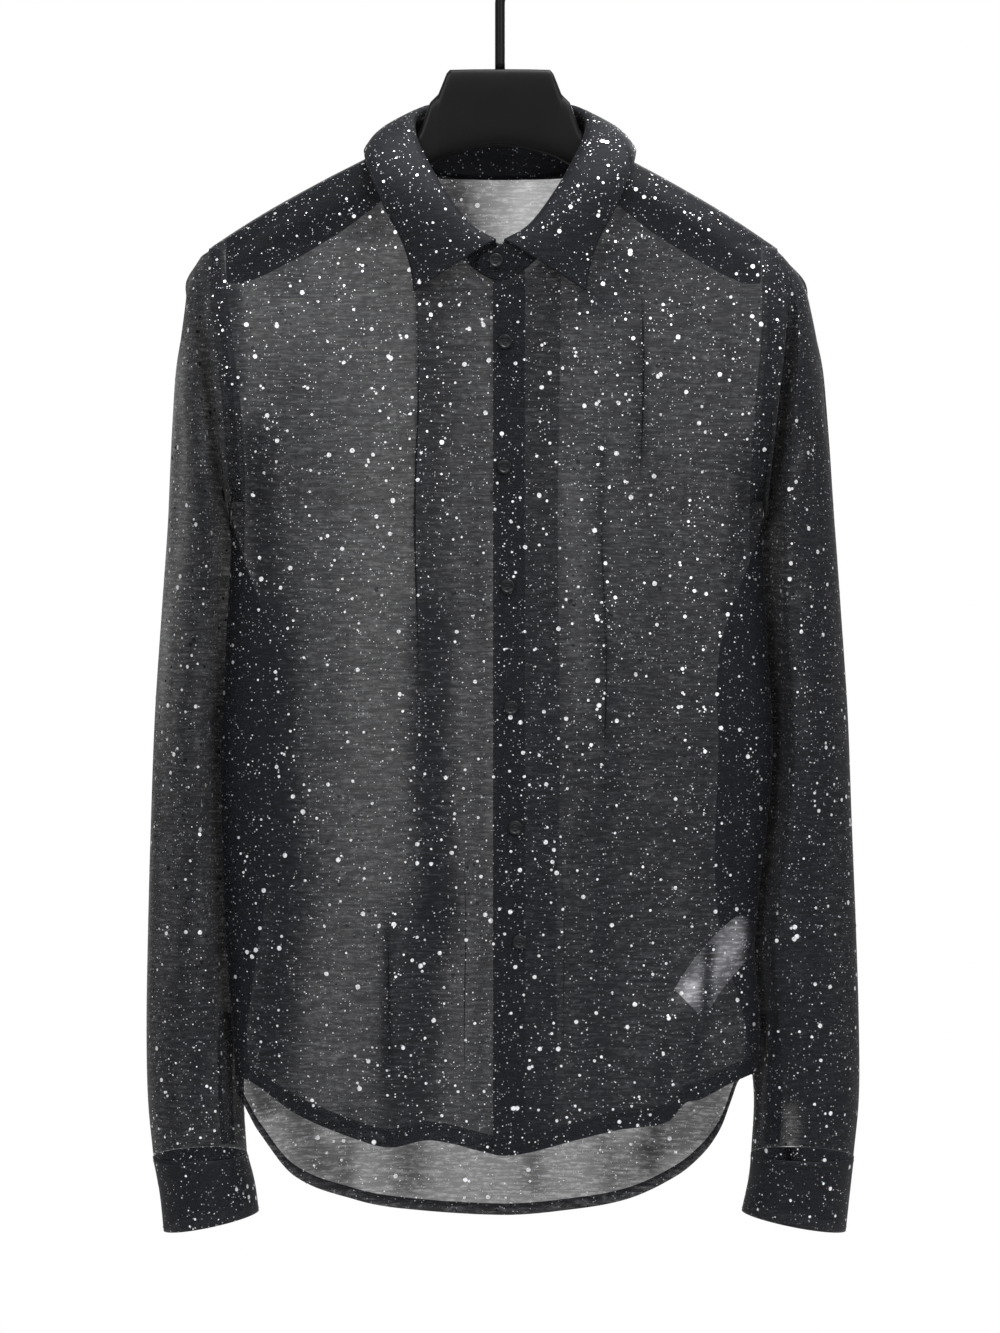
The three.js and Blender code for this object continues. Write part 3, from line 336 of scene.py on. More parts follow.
def body_depth(side, x, down, fine=False):
    across = np.minimum(1, np.abs(x) / half_width(down, x))
    below = down - look_up(RIDGE, "down", across)
    bulge = NECK_BULGE * (1 - ease(across, 0.1, 0.55)) * (1 - ease(down, *NECK_BULGE_DOWN))
    full = look_up(BODY_DEPTH, side, down) + bulge
    turn = np.clip(below / RIDGE_ROUNDING, 0, 1)
    ridge = full * np.sqrt(1 - (1 - turn) ** 2)
    middle, reach = (SHOULDER_DOWN + UNDERARM_DOWN) / 2, (UNDERARM_DOWN - SHOULDER_DOWN) / 2
    height = np.clip((down - middle) / reach, -1, 1)
    edge = ARMHOLE_HALF_DEPTH * np.sqrt(1 - height * height)
    power = 12 - 9.4 * ease(down, SHOULDER_DOWN, UNDERARM_DOWN)
    fullness = np.sqrt(np.maximum(0, 1 - across**power))
    folds = fold_depth(FRONT_FOLDS if side == "front" else BACK_FOLDS, x, down)
    if fine:
        small = crease_depth(FRONT_CREASES if side == "front" else BACK_CREASES, x, down)
        folds = folds + small * turn
    return edge + (ridge - edge) * fullness + folds * fullness


def top_down(side, x):
    reach = np.minimum(1, np.abs(x) / NECK_HALF_WIDTH)
    across = np.minimum(1, np.abs(x) / half_width(SHOULDER_DOWN, x))
    shoulder = look_up(RIDGE, "down", across)
    if side == "front":
        neck = NECK_DOWN + FRONT_NECK_DROP * np.maximum(0, 1 - reach**1.7) ** 0.8
    else:
        neck = NECK_DOWN + BACK_NECK_DROP * np.sqrt(np.maximum(0, 1 - reach**2.5))
    return np.where(reach >= 1, shoulder, neck)


def over_lift(x, down):
    return OVERLAP_LIFT * (1 - ease(x, *OVERLAP_REACH)) * ease(down, *OVERLAP_DOWN)


def front_x(edge_x, sign, turn, down):
    """Place across a front panel. turn is 0 at the side seam, 1 below the neck and 2 at the edge."""
    width, shoulder = half_width(down, sign), half_width(SHOULDER_DOWN, sign)
    neck = NECK_HALF_WIDTH * width / shoulder
    share = 1 + (NECK_HALF_WIDTH / shoulder - 1) * np.minimum(turn, 1)
    return sign * share * width + (edge_x - sign * neck) * np.maximum(turn - 1, 0)


def body_point(side, x, down, lift=0.0, inward=0.0):
    sign = -1 if side == "front" else 1
    moved, rise = pleated(FRONT_PLEATS if side == "front" else BACK_PLEATS, x, down)
    across = np.minimum(1, np.abs(x) / half_width(down, x))
    free = 1 - ease(across, 0.86, 1)
    depth = body_depth(side, x, down, fine=True) + SEAM_GAP / 2 + lift + rise * free - inward
    return np.stack([x + (moved - x) * free, sign * depth, -(down + 0 * x)], -1)


def rows_down(top, bottom, shares, band):
    """Where a panel's rows lie: over its whole height, or over a band of millimetres above the hem."""
    if band is None:
        return top + (bottom - top) * shares[:, None]
    return bottom - band * (1 - shares[:, None])


def front_points(edge_x, sign, turns, shares, inward=0.0, band=None):
    lift = over_lift if sign > 0 else (lambda x, down: 0)
    top = top_down("front", front_x(edge_x, sign, turns, SHOULDER_DOWN)) + SEAM_GAP
    bottom = look_up(FRONT_HEM, "down", front_x(edge_x, sign, turns, HEM_DOWN))
    down = rows_down(top, bottom, shares, band)
    x = front_x(edge_x, sign, turns[None, :], down)
    return body_point("front", x, down, lift(x, down), inward)


def back_points(across, shares, inward=0.0, band=None):
    top = top_down("back", across * half_width(SHOULDER_DOWN, across)) + SEAM_GAP
    bottom = look_up(BACK_HEM, "down", across * half_width(HEM_DOWN, across))
    down = rows_down(top, bottom, shares, band)
    x = across[None, :] * half_width(down, across[None, :])
    return body_point("back", x, down, 0, inward)


def collar_rows():
    """The collar's table carried over to the other side of the neck."""
    both = {"row": np.arange(2.0 * len(COLLAR["fold_x"]) - 1)}
    for name, values in COLLAR.items():
        mirrored = -values if name in ("fold_x", "edge_x") else values
        both[name] = np.concatenate([mirrored, values[-2::-1]])
    return both


COLLAR_ROWS = collar_rows()
COLLAR_END = len(COLLAR_ROWS["row"]) - 1


def collar_point(kind, row):
    at = lambda column: look_up(COLLAR_ROWS, f"{kind}_{column}", row)
    return np.stack([at("x"), at("y"), -at("down")], -1)


def unit(vectors):
    return vectors / np.maximum(1e-9, np.linalg.norm(vectors, axis=-1, keepdims=True))


def leaf_seam(row):
    fold = collar_point("fold", row)
    inwards = unit(fold * (-1, -1, 0))
    return fold + inwards * LEAF_SEAM_INSET - np.array((0, 0, LEAF_SEAM_DROP))


def clear_of_body(points, clear):
    x, y, down = points[..., 0], points[..., 1], -points[..., 2]
    for side, sign in (("front", -1), ("back", 1)):
        lift = np.where((side == "front") & (x > 0), over_lift(x, down), 0)
        depth = body_depth(side, x, down) + lift + clear
        facing = y * sign >= (0 if side == "back" else 1e-9)
        here = facing & (down >= top_down(side, x)) & (np.abs(y) < depth)
        y = np.where(here, sign * depth, y)
    return np.stack([x, y, -down], -1)


def leaf_points(steps, columns):
    rows = np.linspace(0, COLLAR_END, steps)
    fold, edge = collar_point("fold", rows), collar_point("edge", rows)
    outward = unit(fold * (1, 1, 0))
    fullness = look_up(COLLAR_ROWS, "bulge", rows)
    shares = np.linspace(0, 1, columns)[1:]
    bulge = fullness[:, None] * np.sin(np.pi * shares[None, :] ** 0.7)
    leaf = fold[:, None] + (edge - fold)[:, None] * shares[None, :, None]
    leaf = clear_of_body(leaf + outward[:, None] * bulge[..., None], LEAF_CLEAR)
    return np.concatenate([leaf_seam(rows)[:, None], fold[:, None], leaf], axis=1)


def stand_points(steps, columns):
    turn = np.linspace(STAND_OVER_TURN, 2 * np.pi + STAND_UNDER_TURN, steps)
    held = np.clip(turn, 0, 2 * np.pi)
    x = NECK_HALF_WIDTH * np.sin(turn)
    front = np.cos(turn) > 0
    down = np.where(front, top_down("front", x), top_down("back", x))
    lift = np.where(turn < np.pi / 2, over_lift(np.abs(x), down), 0)
    depth = np.where(front, body_depth("front", x, down), body_depth("back", x, down)) + SEAM_GAP / 2
    base = np.stack([x, np.where(front, -(depth + lift), depth), -down + STAND_CLEAR], -1)
    quarter = np.where(held < np.pi, held, 2 * np.pi - held) / (np.pi / 2)
    half = np.where(
        quarter < 1, NECK_POINT_ROW * quarter,
        NECK_POINT_ROW + (COLLAR_END / 2 - NECK_POINT_ROW) * (quarter - 1),
    )
    seam = leaf_seam(np.where(held < np.pi, COLLAR_END - half, half))
    seam[:, 0] += NECK_HALF_WIDTH * (np.sin(turn) - np.sin(held))
    seam[:, 1] -= lift * STAND_OVER_SHARE
    seam[:, 2] += np.where(front, LEAF_SEAM_DROP * np.exp(-((x / STAND_FRONT_REACH) ** 2)), 0)
    past = np.abs(turn - held) / abs(STAND_OVER_TURN)
    rise = seam - base
    height = (np.linalg.norm(rise, axis=-1) - STAND_TOP_CLEAR) * (1 - STAND_END_DROP * past**2)
    shares = np.linspace(-STAND_TUCK, 1, columns)
    return base[:, None] + unit(rise)[:, None] * (height[:, None] * shares)[..., None]


def sleeve_limit(x, down):
    inside = x * SLEEVE_WIDENING
    distance = np.abs(inside) - half_width(down, x)
    behind = body_depth("back", inside, down) + SLEEVE_CLEAR
    return np.where(distance < 0, behind, SLEEVE_CLEAR - SLEEVE_WRAP_SLOPE * distance)


def sleeve_points(sign, row, turn):
    at = lambda column: look_up(SLEEVE, column, row)
    outer_x = at("outer_left" if sign < 0 else "outer_right")
    inner_x = half_width(at("inner_down"), sign) + at("inner")
    if sign > 0:
        inner_x = inner_x + WRIST_IN_RIGHT * ease(row, 11.5, 13)
    swing = np.cos(turn)
    down = (at("outer_down") + at("inner_down")) / 2 + (at("outer_down") - at("inner_down")) / 2 * swing
    grow = crease_depth(SLEEVE_CREASES, row, turn, SLEEVE_SCALE)
    reach = (outer_x - inner_x) / 2
    x = (outer_x + inner_x) / 2 + (reach + grow) * swing
    edge_x = half_width(down, sign) + ARMHOLE_CLEAR
    x = x + (edge_x - x) * (1 - ease(row, 0, 2.5))
    rounding = HEAD_ROUND_LEFT if sign < 0 else HEAD_ROUND_RIGHT
    x = x + rounding * ease(row, 0, 0.9) * (1 - ease(row, 1.1, 2.6)) * np.maximum(0, swing) ** 2
    x = np.where(down < UNDERARM_DOWN + 12, np.maximum(x, edge_x), x)
    ripple = SLEEVE_RIPPLE * np.sin(3 * turn + 0.6) * ease(row, 3, 6) * (1 - ease(row, 11, 13))
    y = at("behind") + (at("half") + ripple + grow) * np.sin(turn)
    near = ease(row, 1.2, 2.2) * (1 - ease(down, 875, 900))
    limit = sleeve_limit(sign * x, down)
    y = np.where((near > 0) & (y < limit), y + (limit - y) * near, y)
    return np.stack([sign * x, y, -down], -1)


def cuff_points(sign, row, share, outward=0.0):
    at = lambda column: look_up(CUFF, column, row)
    side = "left" if sign < 0 else "right"
    outer_x, inner_x = at(f"outer_{side}"), at(f"inner_{side}")
    if sign > 0:
        inner_x = inner_x + WRIST_IN_RIGHT * (1 - ease(row, 0, 2.5))
    turn = SLIT_TURN - CUFF_LAP + (2 * np.pi + CUFF_LAP) * share
    lift = CUFF_LAP_LIFT * ease(share, CUFF_LAP_FROM, CUFF_LAP_TO) + outward
    swing = np.cos(turn)
    x = (outer_x + inner_x) / 2 + ((outer_x - inner_x) / 2 + lift) * swing
    down = (at("outer_down") + at("inner_down")) / 2 + (at("outer_down") - at("inner_down")) / 2 * swing
    y = at("behind") + (at("half") + lift) * np.sin(turn)
    return np.stack([sign * x, y, -down], -1)


# Materials
def nodes_of(name):
    material = bpy.data.materials.new(name)
    material.use_nodes = True
    tree = material.node_tree
    return material, tree, tree.nodes["Principled BSDF"]


def set_inputs(node, inputs):
    for name, value in inputs.items():
        node.inputs[name].default_value = value


def add_node(tree, kind, **inputs):
    node = tree.nodes.new(kind)
    set_inputs(node, inputs)
    return node


def object_place(tree):
    return tree.nodes.new("ShaderNodeTexCoord").outputs["Object"]


def add_bump(tree, shader, height, strength, distance):
    bump = add_node(tree, "ShaderNodeBump", Strength=strength, Distance=distance)
    tree.links.new(height, bump.inputs["Height"])
    tree.links.new(bump.outputs["Normal"], shader.inputs["Normal"])


def mix_colours(tree, factor, dark, light):
    mix = tree.nodes.new("ShaderNodeMix")
    mix.data_type = "RGBA"
    tree.links.new(factor, mix.inputs["Factor"])
    for socket, colour in ((mix.inputs["A"], dark), (mix.inputs["B"], light)):
        if isinstance(colour, tuple):
            socket.default_value = (*colour, 1)
        else:
            tree.links.new(colour, socket)
    return mix.outputs["Result"]


def math_node(tree, operation, *values, clamp=False):
    node = tree.nodes.new("ShaderNodeMath")
    node.operation = operation
    node.use_clamp = clamp
    for socket, value in zip(node.inputs, values):
        if isinstance(value, (int, float)):
            socket.default_value = value
        else:
            tree.links.new(value, socket)
    return node.outputs[0]


def noise(tree, scale, detail):
    node = add_node(tree, "ShaderNodeTexNoise", Scale=1.0, Detail=detail)
    mapping = add_node(tree, "ShaderNodeMapping", Scale=scale)
    tree.links.new(object_place(tree), mapping.inputs["Vector"])
    tree.links.new(mapping.outputs[0], node.inputs["Vector"])
    return node.outputs["Fac"]


def ramp(tree, value, low, high):
    node = tree.nodes.new("ShaderNodeMapRange")
    node.interpolation_type = "SMOOTHSTEP"
    tree.links.new(value, node.inputs["Value"])
    set_inputs(node, {"From Min": low, "From Max": high})
    return node.outputs["Result"]


def sheer_cloth(name, openness, colour=(0.0038, 0.0043, 0.006)):
    """Crinkled cloth: fine uneven threads and tiny silver specks. openness is the light that passes."""
    material, tree, shader = nodes_of(name)
    threads = noise(tree, (70, 70, 640), 3.0)
    patches = noise(tree, (240, 240, 420), 2.0)
    slub = math_node(tree, "MULTIPLY", ramp(tree, threads, 0.38, 0.62), ramp(tree, patches, 0.25, 0.75))
    specks = add_node(tree, "ShaderNodeTexVoronoi", Scale=620.0)
    tree.links.new(object_place(tree), specks.inputs["Vector"])
    chosen = tree.nodes.new("ShaderNodeSeparateColor")
    tree.links.new(specks.outputs["Color"], chosen.inputs[0])
    near = ramp(tree, specks.outputs["Distance"], 0.36, 0.22)
    speck = math_node(tree, "MULTIPLY", near, ramp(tree, chosen.outputs[0], 0.80, 1.0))
    woven = mix_colours(tree, slub, colour, tuple(2.3 * c for c in colour))
    tree.links.new(mix_colours(tree, speck, woven, (0.42, 0.43, 0.46)), shader.inputs["Base Color"])
    passed = math_node(tree, "MULTIPLY_ADD", slub, 0.7 * openness, 0.78 * openness)
    # The mesh attribute read here makes the cloth denser where its threads lie closer, and also darkens it
    # as painted shade where it is above zero and lightens it as painted light where it is below zero.
    gather_and_shade = tree.nodes.new("ShaderNodeAttribute")
    gather_and_shade.attribute_name = "gather_and_shade"
    gather_and_shade_power = math_node(tree, "ADD", gather_and_shade.outputs["Fac"], 1.0)
    passed = math_node(tree, "POWER", passed, gather_and_shade_power)
    covered = math_node(tree, "SUBTRACT", 1.0, passed, clamp=True)
    tree.links.new(math_node(tree, "MAXIMUM", covered, speck, clamp=True), shader.inputs["Alpha"])
    tree.links.new(math_node(tree, "MULTIPLY", speck, 0.8), shader.inputs["Metallic"])
    add_bump(tree, shader, threads, 0.5, 0.0004)
    set_inputs(shader, {
        "Roughness": 0.62, "Specular IOR Level": 0.12, "Sheen Weight": 0.02, "Sheen Roughness": 0.5,
    })
    return material


def foil():
    material, tree, shader = nodes_of("silver_foil")
    worn = noise(tree, (900, 900, 900), 2.0)
    bright = mix_colours(tree, ramp(tree, worn, 0.3, 0.7), (0.72, 0.73, 0.76), (0.95, 0.95, 0.97))
    tree.links.new(bright, shader.inputs["Base Color"])
    tree.links.new(ramp(tree, worn, -0.4, 1.6), shader.inputs["Roughness"])
    shader.inputs["Metallic"].default_value = 0.85
    return material


def plastic(name, dark, light, roughness, coat=0.0, shine=0.3):
    material, tree, shader = nodes_of(name)
    grain = noise(tree, (1400, 1400, 1400), 3.0)
    clouds = noise(tree, (18, 18, 18), 3.0)
    tree.links.new(mix_colours(tree, clouds, dark, light), shader.inputs["Base Color"])
    add_bump(tree, shader, grain, 0.25, 0.00008)
    rough = math_node(tree, "MULTIPLY_ADD", clouds, 0.14, roughness - 0.07)
    tree.links.new(rough, shader.inputs["Roughness"])
    set_inputs(shader, {"Specular IOR Level": shine, "Coat Weight": coat})
    return material


def glowing_label_cloth():
    """White tape with a weak glow of painted light, so that it shows bright through the dark cloth."""
    material, tree, shader = nodes_of("label_tape_painted_glow")
    weave = noise(tree, (2600, 2600, 900), 1.0)
    tree.links.new(
        mix_colours(tree, weave, (0.74, 0.74, 0.77), (0.9, 0.9, 0.92)), shader.inputs["Base Color"]
    )
    add_bump(tree, shader, weave, 0.3, 0.0001)
    # The emission is painted light: the tape glows though no lamp shines on it.
    set_inputs(shader, {
        "Roughness": 0.55, "Emission Color": (0.95, 0.95, 1.0, 1), "Emission Strength": 1.3,
    })
    return material


SHEER = sheer_cloth("sheer_cloth", 0.29)
DOUBLE = sheer_cloth("double_cloth", 0.07, (0.0049, 0.0054, 0.0072))
THREAD = plastic("thread", (0.008, 0.008, 0.009), (0.016, 0.016, 0.018), 0.6)
FOIL = foil()
BLACK = (0.0026, 0.0027, 0.0029), (0.0038, 0.0038, 0.0042)
HANGER = plastic("hanger_plastic", *BLACK, 0.4, shine=0.14)
HOOK = plastic("hook_lacquer", *BLACK, 0.36, shine=0.14)
BUTTON = plastic("button_resin", (0.004, 0.005, 0.0055), (0.008, 0.010, 0.011), 0.34, coat=0.1, shine=0.16)
LABEL_GLOW_CLOTH = glowing_label_cloth()


# Meshes
def make_piece(name, points, faces, material, replaces=(), smooth=True):
    mesh = bpy.data.meshes.new(name)
    mesh.from_pydata((np.asarray(points).reshape(-1, 3) * MM).tolist(), [], faces)
    mesh.validate()
    mesh.materials.append(material)
    if smooth:
        mesh.polygons.foreach_set("use_smooth", np.ones(len(mesh.polygons), bool))
    piece = bpy.data.objects.new(name, mesh)
    bpy.context.collection.objects.link(piece)
    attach(piece, "root")
    if replaces:
        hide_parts(*replaces)
    return piece


def grid_faces(rows, columns, ring=False, start=0):
    index = np.arange(rows * columns).reshape(rows, columns) + start
    if ring:
        index = np.concatenate([index, index[:, :1]], axis=1)
    corners = (index[:-1, :-1], index[:-1, 1:], index[1:, 1:], index[1:, :-1])
    return np.stack(corners, -1).reshape(-1, 4).tolist()


def rod_faces(rows, sides):
    """Faces of a ring that is carried along rows, with both ends closed."""
    ends = [list(range(sides))[::-1], list(range((rows - 1) * sides, rows * sides))]
    return grid_faces(rows, sides, ring=True) + ends


def grid_normals(grid, ring=False):
    if ring:
        across = np.roll(grid, -1, 1) - np.roll(grid, 1, 1)
    else:
        across = np.gradient(grid, axis=1)
    return unit(np.cross(across, np.gradient(grid, axis=0)))


def outward_sign(grid, ring=False):
    """1 or -1: which way the grid's normals are turned to point away from the wearer or the arm."""
    middle = grid.mean(axis=1, keepdims=True) if ring else np.array((0, 0, -600))
    return float(np.sign((grid_normals(grid, ring) * (grid - middle)).sum()))


def sheet_piece(name, grid, replaces=(), ring=False, gather_and_shade=None):
    """A single layer of the sheer cloth."""
    faces = grid_faces(*grid.shape[:2], ring)
    piece = make_piece(name, grid, faces, SHEER, replaces)
    if gather_and_shade is not None:
        values = np.broadcast_to(gather_and_shade, grid.shape[:2]).astype(float).ravel()
        piece.data.attributes.new("gather_and_shade", "FLOAT", "POINT").data.foreach_set("value", values)
    return piece


def shell_piece(node, grid, thickness, material):
    """Two layers of cloth turned over at their edges, as in a collar or a cuff."""
    rows, columns = grid.shape[:2]
    normals = grid_normals(grid)
    layers = [grid + normals * thickness / 2, grid - normals * thickness / 2]
    count = rows * columns
    index = np.arange(count).reshape(rows, columns)
    faces = grid_faces(rows, columns)
    faces += [face[::-1] for face in grid_faces(rows, columns, start=count)]
    border = np.concatenate([index[0], index[1:, -1], index[-1, -2::-1], index[-2:0:-1, 0]])
    following = np.roll(border, -1)
    faces += np.stack([following, border, border + count, following + count], -1).tolist()
    return make_piece(f"{node}_cloth", np.concatenate(layers), faces, material, (node,))


# Silver dots in four sizes, as share of the dots, least and most radius in millimetres, and corners
DOT_SIZES = ((0.036, 1.35, 1.8, 10), (0.1, 0.85, 1.15, 9), (0.26, 0.42, 0.66, 7), (0.604, 0.18, 0.34, 6))
DOTS_PER_CM2 = 1.65
DOT_LIFT = 0.3


def dots(name, grid, outward, ring=False, lifts=(DOT_LIFT,)):
    """Small foil discs scattered evenly over a grid, each at every lift off its face."""
    if ring:
        grid = np.concatenate([grid, grid[:, :1]], axis=1)
    a, b = grid[:-1, :-1], grid[:-1, 1:]
    c, d = grid[1:, 1:], grid[1:, :-1]
    normals = np.cross(b - d, c - a).reshape(-1, 3)
    area = np.linalg.norm(normals, axis=-1) / 2
    count = rng.poisson(area.sum() / 100 * DOTS_PER_CM2)
    chosen = rng.choice(len(area), count, p=area / area.sum())
    u, v = rng.random((2, count, 1))
    corners = [corner.reshape(-1, 3)[chosen] for corner in (a, b, c, d)]
    middle = (
        corners[0] * (1 - u) * (1 - v) + corners[1] * u * (1 - v)
        + corners[2] * u * v + corners[3] * (1 - u) * v
    )
    normal = unit(normals[chosen]) * outward
    side = unit(np.cross(normal, (0.31, 0.2, 0.93)))
    up = np.cross(normal, side)
    kinds = rng.choice(len(DOT_SIZES), count, p=[size[0] for size in DOT_SIZES])
    points, faces, total = [], [], 0
    for kind, (_, low, high, sides) in enumerate(DOT_SIZES):
        here = kinds == kind
        amount = int(here.sum())
        radius = rng.uniform(low, high, (amount, 1)) * rng.uniform(0.9, 1.1, (amount, sides))
        turn = np.arange(sides) * 2 * np.pi / sides + rng.uniform(0, 1, (amount, 1))
        ring_points = (
            middle[here][:, None]
            + side[here][:, None] * (radius * np.cos(turn))[..., None]
            + up[here][:, None] * (radius * np.sin(turn))[..., None]
        )
        for lift in lifts:
            points.append((ring_points + normal[here][:, None] * lift).reshape(-1, 3))
            faces += (np.arange(amount * sides).reshape(amount, sides) + total).tolist()
            total += amount * sides
    return make_piece(name, np.concatenate(points), faces, FOIL, smooth=False)


STITCH_PITCH, STITCH_LENGTH, STITCH_RADIUS = 2.9, 2.2, 0.19


def stitches(name, lines):
    """Rows of small thread stitches. Each line is its points and its outward directions."""
    points, faces, total = [], [], 0
    for line, outward in lines:
        steps = np.linalg.norm(np.diff(line, axis=0), axis=-1)
        along = np.concatenate([[0], np.cumsum(steps)])
        places = np.arange(STITCH_PITCH / 2, along[-1], STITCH_PITCH)

        def at(offset, vectors):
            return np.stack([np.interp(places + offset, along, vectors[:, axis]) for axis in range(3)], -1)

        out = unit(at(0, outward))
        forward = unit(at(0.5, line) - at(-0.5, line))
        side = unit(np.cross(forward, out)) * STITCH_RADIUS
        up, half = out * STITCH_RADIUS, forward * STITCH_LENGTH / 2
        middle = at(0, line) + up
        rim = [middle + side, middle + up, middle - side, middle - up]
        corners = [middle - half - up, *rim, middle + half - up]
        amount = len(places)
        points.append(np.stack(corners, 1).reshape(-1, 3))
        start = np.arange(amount)[:, None] * 6 + total
        for tip, order in ((0, (1, 2, 3, 4)), (5, (4, 3, 2, 1))):
            for first, second in zip(order, order[1:] + order[:1]):
                faces += np.concatenate([start + tip, start + second, start + first], 1).tolist()
        total += amount * 6
    return make_piece(name, np.concatenate(points), faces, THREAD, smooth=False)


def rod_points(path, radius, sides):
    """A rod along a path in the XZ plane, with a round far end."""
    forward = unit(np.gradient(path, axis=0))
    side = np.array((0.0, 1.0, 0.0))
    up = np.cross(forward, side)
    turn = np.arange(sides) * 2 * np.pi / sides
    left = np.linalg.norm(path - path[-1], axis=-1)
    rounded = np.sqrt(np.maximum(0.02, 1 - (1 - left / radius) ** 2)) * radius
    radii = np.where(left < radius, rounded, float(radius))
    return path[:, None] + radii[:, None, None] * (
        np.cos(turn)[None, :, None] * side + np.sin(turn)[None, :, None] * up[:, None]
    )


# Body panels
turns = np.concatenate([np.linspace(0, 1, 66)[:-1] ** 1.5, np.linspace(1, 2, 44)])
ROWS = np.linspace(0, 1, 250) ** 1.4
HEM_ROWS = np.linspace(0, 1, 8)
across = np.linspace(-1, 1, 210)
across = np.sign(across) * (1 - (1 - np.abs(across)) ** 1.35)


def panel(name, points, gather_and_shade, hem_gather, hem_turn, sewing_turn, facing, lifts=(DOT_LIFT,)):
    """A front or the back, and its turned hem, dots and stitches. points gives the grid of some rows."""
    grid = points(ROWS)
    cloth = sheet_piece(f"{name}_cloth", grid, (name,), gather_and_shade=gather_and_shade(grid))
    hem = sheet_piece(f"{name}_hem", points(HEM_ROWS, 0.5, hem_turn), gather_and_shade=hem_gather)
    foil_dots = dots(f"{name}_dots", grid, outward_sign(grid), lifts=lifts)
    line = points(HEM_ROWS, -0.1, sewing_turn)[0]
    sewing = stitches(f"{name}_stitches", [(line, np.tile((0.0, facing, 0.0), (len(line), 1)))])
    return cloth, [hem, foil_dots, sewing]


for name, edge_x, sign in (("front_over", OVER_EDGE_X, 1), ("front_under", UNDER_EDGE_X, -1)):
    cloth, trims = panel(
        name, lambda *rows: front_points(edge_x, sign, turns, *rows), lambda grid: front_gather_and_shade(sign, grid),
        FRONT_HEM_GATHER, FRONT_HEM_TURN, FRONT_HEM_TURN - 1.2, -1.0,
    )
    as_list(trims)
# The back shows its dots on the inside too, below the front hem
back, back_trims = panel(
    "back", lambda *rows: back_points(across, *rows), back_gather_and_shade, np.array(BACK_HEM_GATHERS)[:, None],
    BACK_HEM_TURN, BACK_HEM_TURN - 1, 1.0, (DOT_LIFT, -DOT_LIFT),
)

# Turned-in strips behind the two front edges, of a lighter lining
for name, edge_x, sign, start, width in (
    ("facing_over", OVER_EDGE_X, 1, 2 - 5 / 8, 0.049),
    ("facing_under", UNDER_EDGE_X, -1, 2 - 2 / 9, 0.021),
):
    strip = front_points(edge_x, sign, np.linspace(start, 2, 20), ROWS[8:], 1.0)
    piece = sheet_piece(f"{name}_cloth", strip, (name,), gather_and_shade=FACING_GATHER)

# Seam allowances: shoulders, sides and armholes
for name, sign in SIDES:
    downs = np.linspace(UNDERARM_DOWN - 1, 838 if sign > 0 else 844, 160)
    inset = np.linspace(0.6, 9, 5)[None, :] * np.ones((160, 1))
    inset[:, 0] = -2 + 2.6 * ease(downs, 438, 462)
    x = sign * (half_width(downs, sign)[:, None] - inset)
    seam = sheet_piece(f"side_seam_{name}", body_point("back", x, downs[:, None], 0, 0.6))
    shares = np.linspace(0.36, 0.99, 80)
    ridge_x = sign * shares * half_width(SHOULDER_DOWN, sign)
    ridge_down = look_up(RIDGE, "down", shares)
    drop = np.array((0.3, 1, 2.5, 5, 8, 11))
    shoulder = sheet_piece(
        f"shoulder_seam_{name}",
        body_point("front", ridge_x[:, None] + 0 * drop, ridge_down[:, None] + drop, 0, 0.6),
    )
    ring_turn = np.linspace(0, 2 * np.pi, 120)
    cap = sleeve_points(sign, 0.02 + 0 * ring_turn, ring_turn)
    inner = []
    for inward in (0.5, 3, 6, 9):
        down = np.clip(-cap[:, 2], SHOULDER_DOWN + 0.3 + inward * 0.25, UNDERARM_DOWN - 0.3)
        x = sign * (half_width(down, sign) - inward)
        depth_front, depth_back = body_depth("front", x, down), body_depth("back", x, down)
        y = np.where(cap[:, 1] < 0, -depth_front + 0.6, depth_back - 0.6)
        inner.append(np.stack([x, y, -down], -1))
    armhole = sheet_piece(f"armhole_seam_{name}", np.stack([cap] + inner, 1))
    back_trims += [seam, shoulder, armhole]
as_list(back_trims)

# Sleeves
for name, sign in SIDES:
    row = np.linspace(0, SLEEVE_END, 230)[:, None]
    turn = np.linspace(0, 2 * np.pi, 161)[None, :-1]
    grid = sleeve_points(sign, row, turn)
    facing = outward_sign(grid, ring=True)
    gather_and_shade = sleeve_gather_and_shade(sign, row, turn)
    sleeve = sheet_piece(f"sleeve_{name}_cloth", grid, (f"sleeve_{name}",), ring=True, gather_and_shade=gather_and_shade)
    dots(f"sleeve_{name}_dots", grid, facing, ring=True)
    slit_row = np.linspace(PLACKET_TOP_ROW, SLEEVE_END - 0.05, 60)[:, None]
    slit_turn = SLIT_TURN + np.linspace(-0.5, 0.5, 12)[None, :] * PLACKET_WIDTH_ANGLE
    strip = sleeve_points(sign, slit_row, slit_turn)
    strip = strip + grid_normals(strip) * PLACKET_LIFT * np.sign(
        (grid_normals(strip) * (strip - np.array((sign * 218, 22, -850)))).sum()
    )
    placket = shell_piece(f"placket_{name}", strip, 0.5, SHEER)
    cuff_share = np.linspace(0, 1, 170)[None, :]
    cuff_row = np.linspace(0, 2, 22)[:, None]
    band = cuff_points(sign, cuff_row, cuff_share)
    cuff = shell_piece(f"cuff_{name}", band, 0.9, DOUBLE)
    cuff_dots = dots(f"cuff_{name}_dots", cuff_points(sign, cuff_row, cuff_share, 0.5), facing)
    lines = []
    for at_row in (0.12, 1.9):
        line = cuff_points(sign, at_row + 0 * cuff_share[0], cuff_share[0], 0.55)
        lines.append((line, unit((line - line.mean(axis=0)) * (1, 1, 0))))
    cuff_sewing = stitches(f"cuff_{name}_stitches", lines)

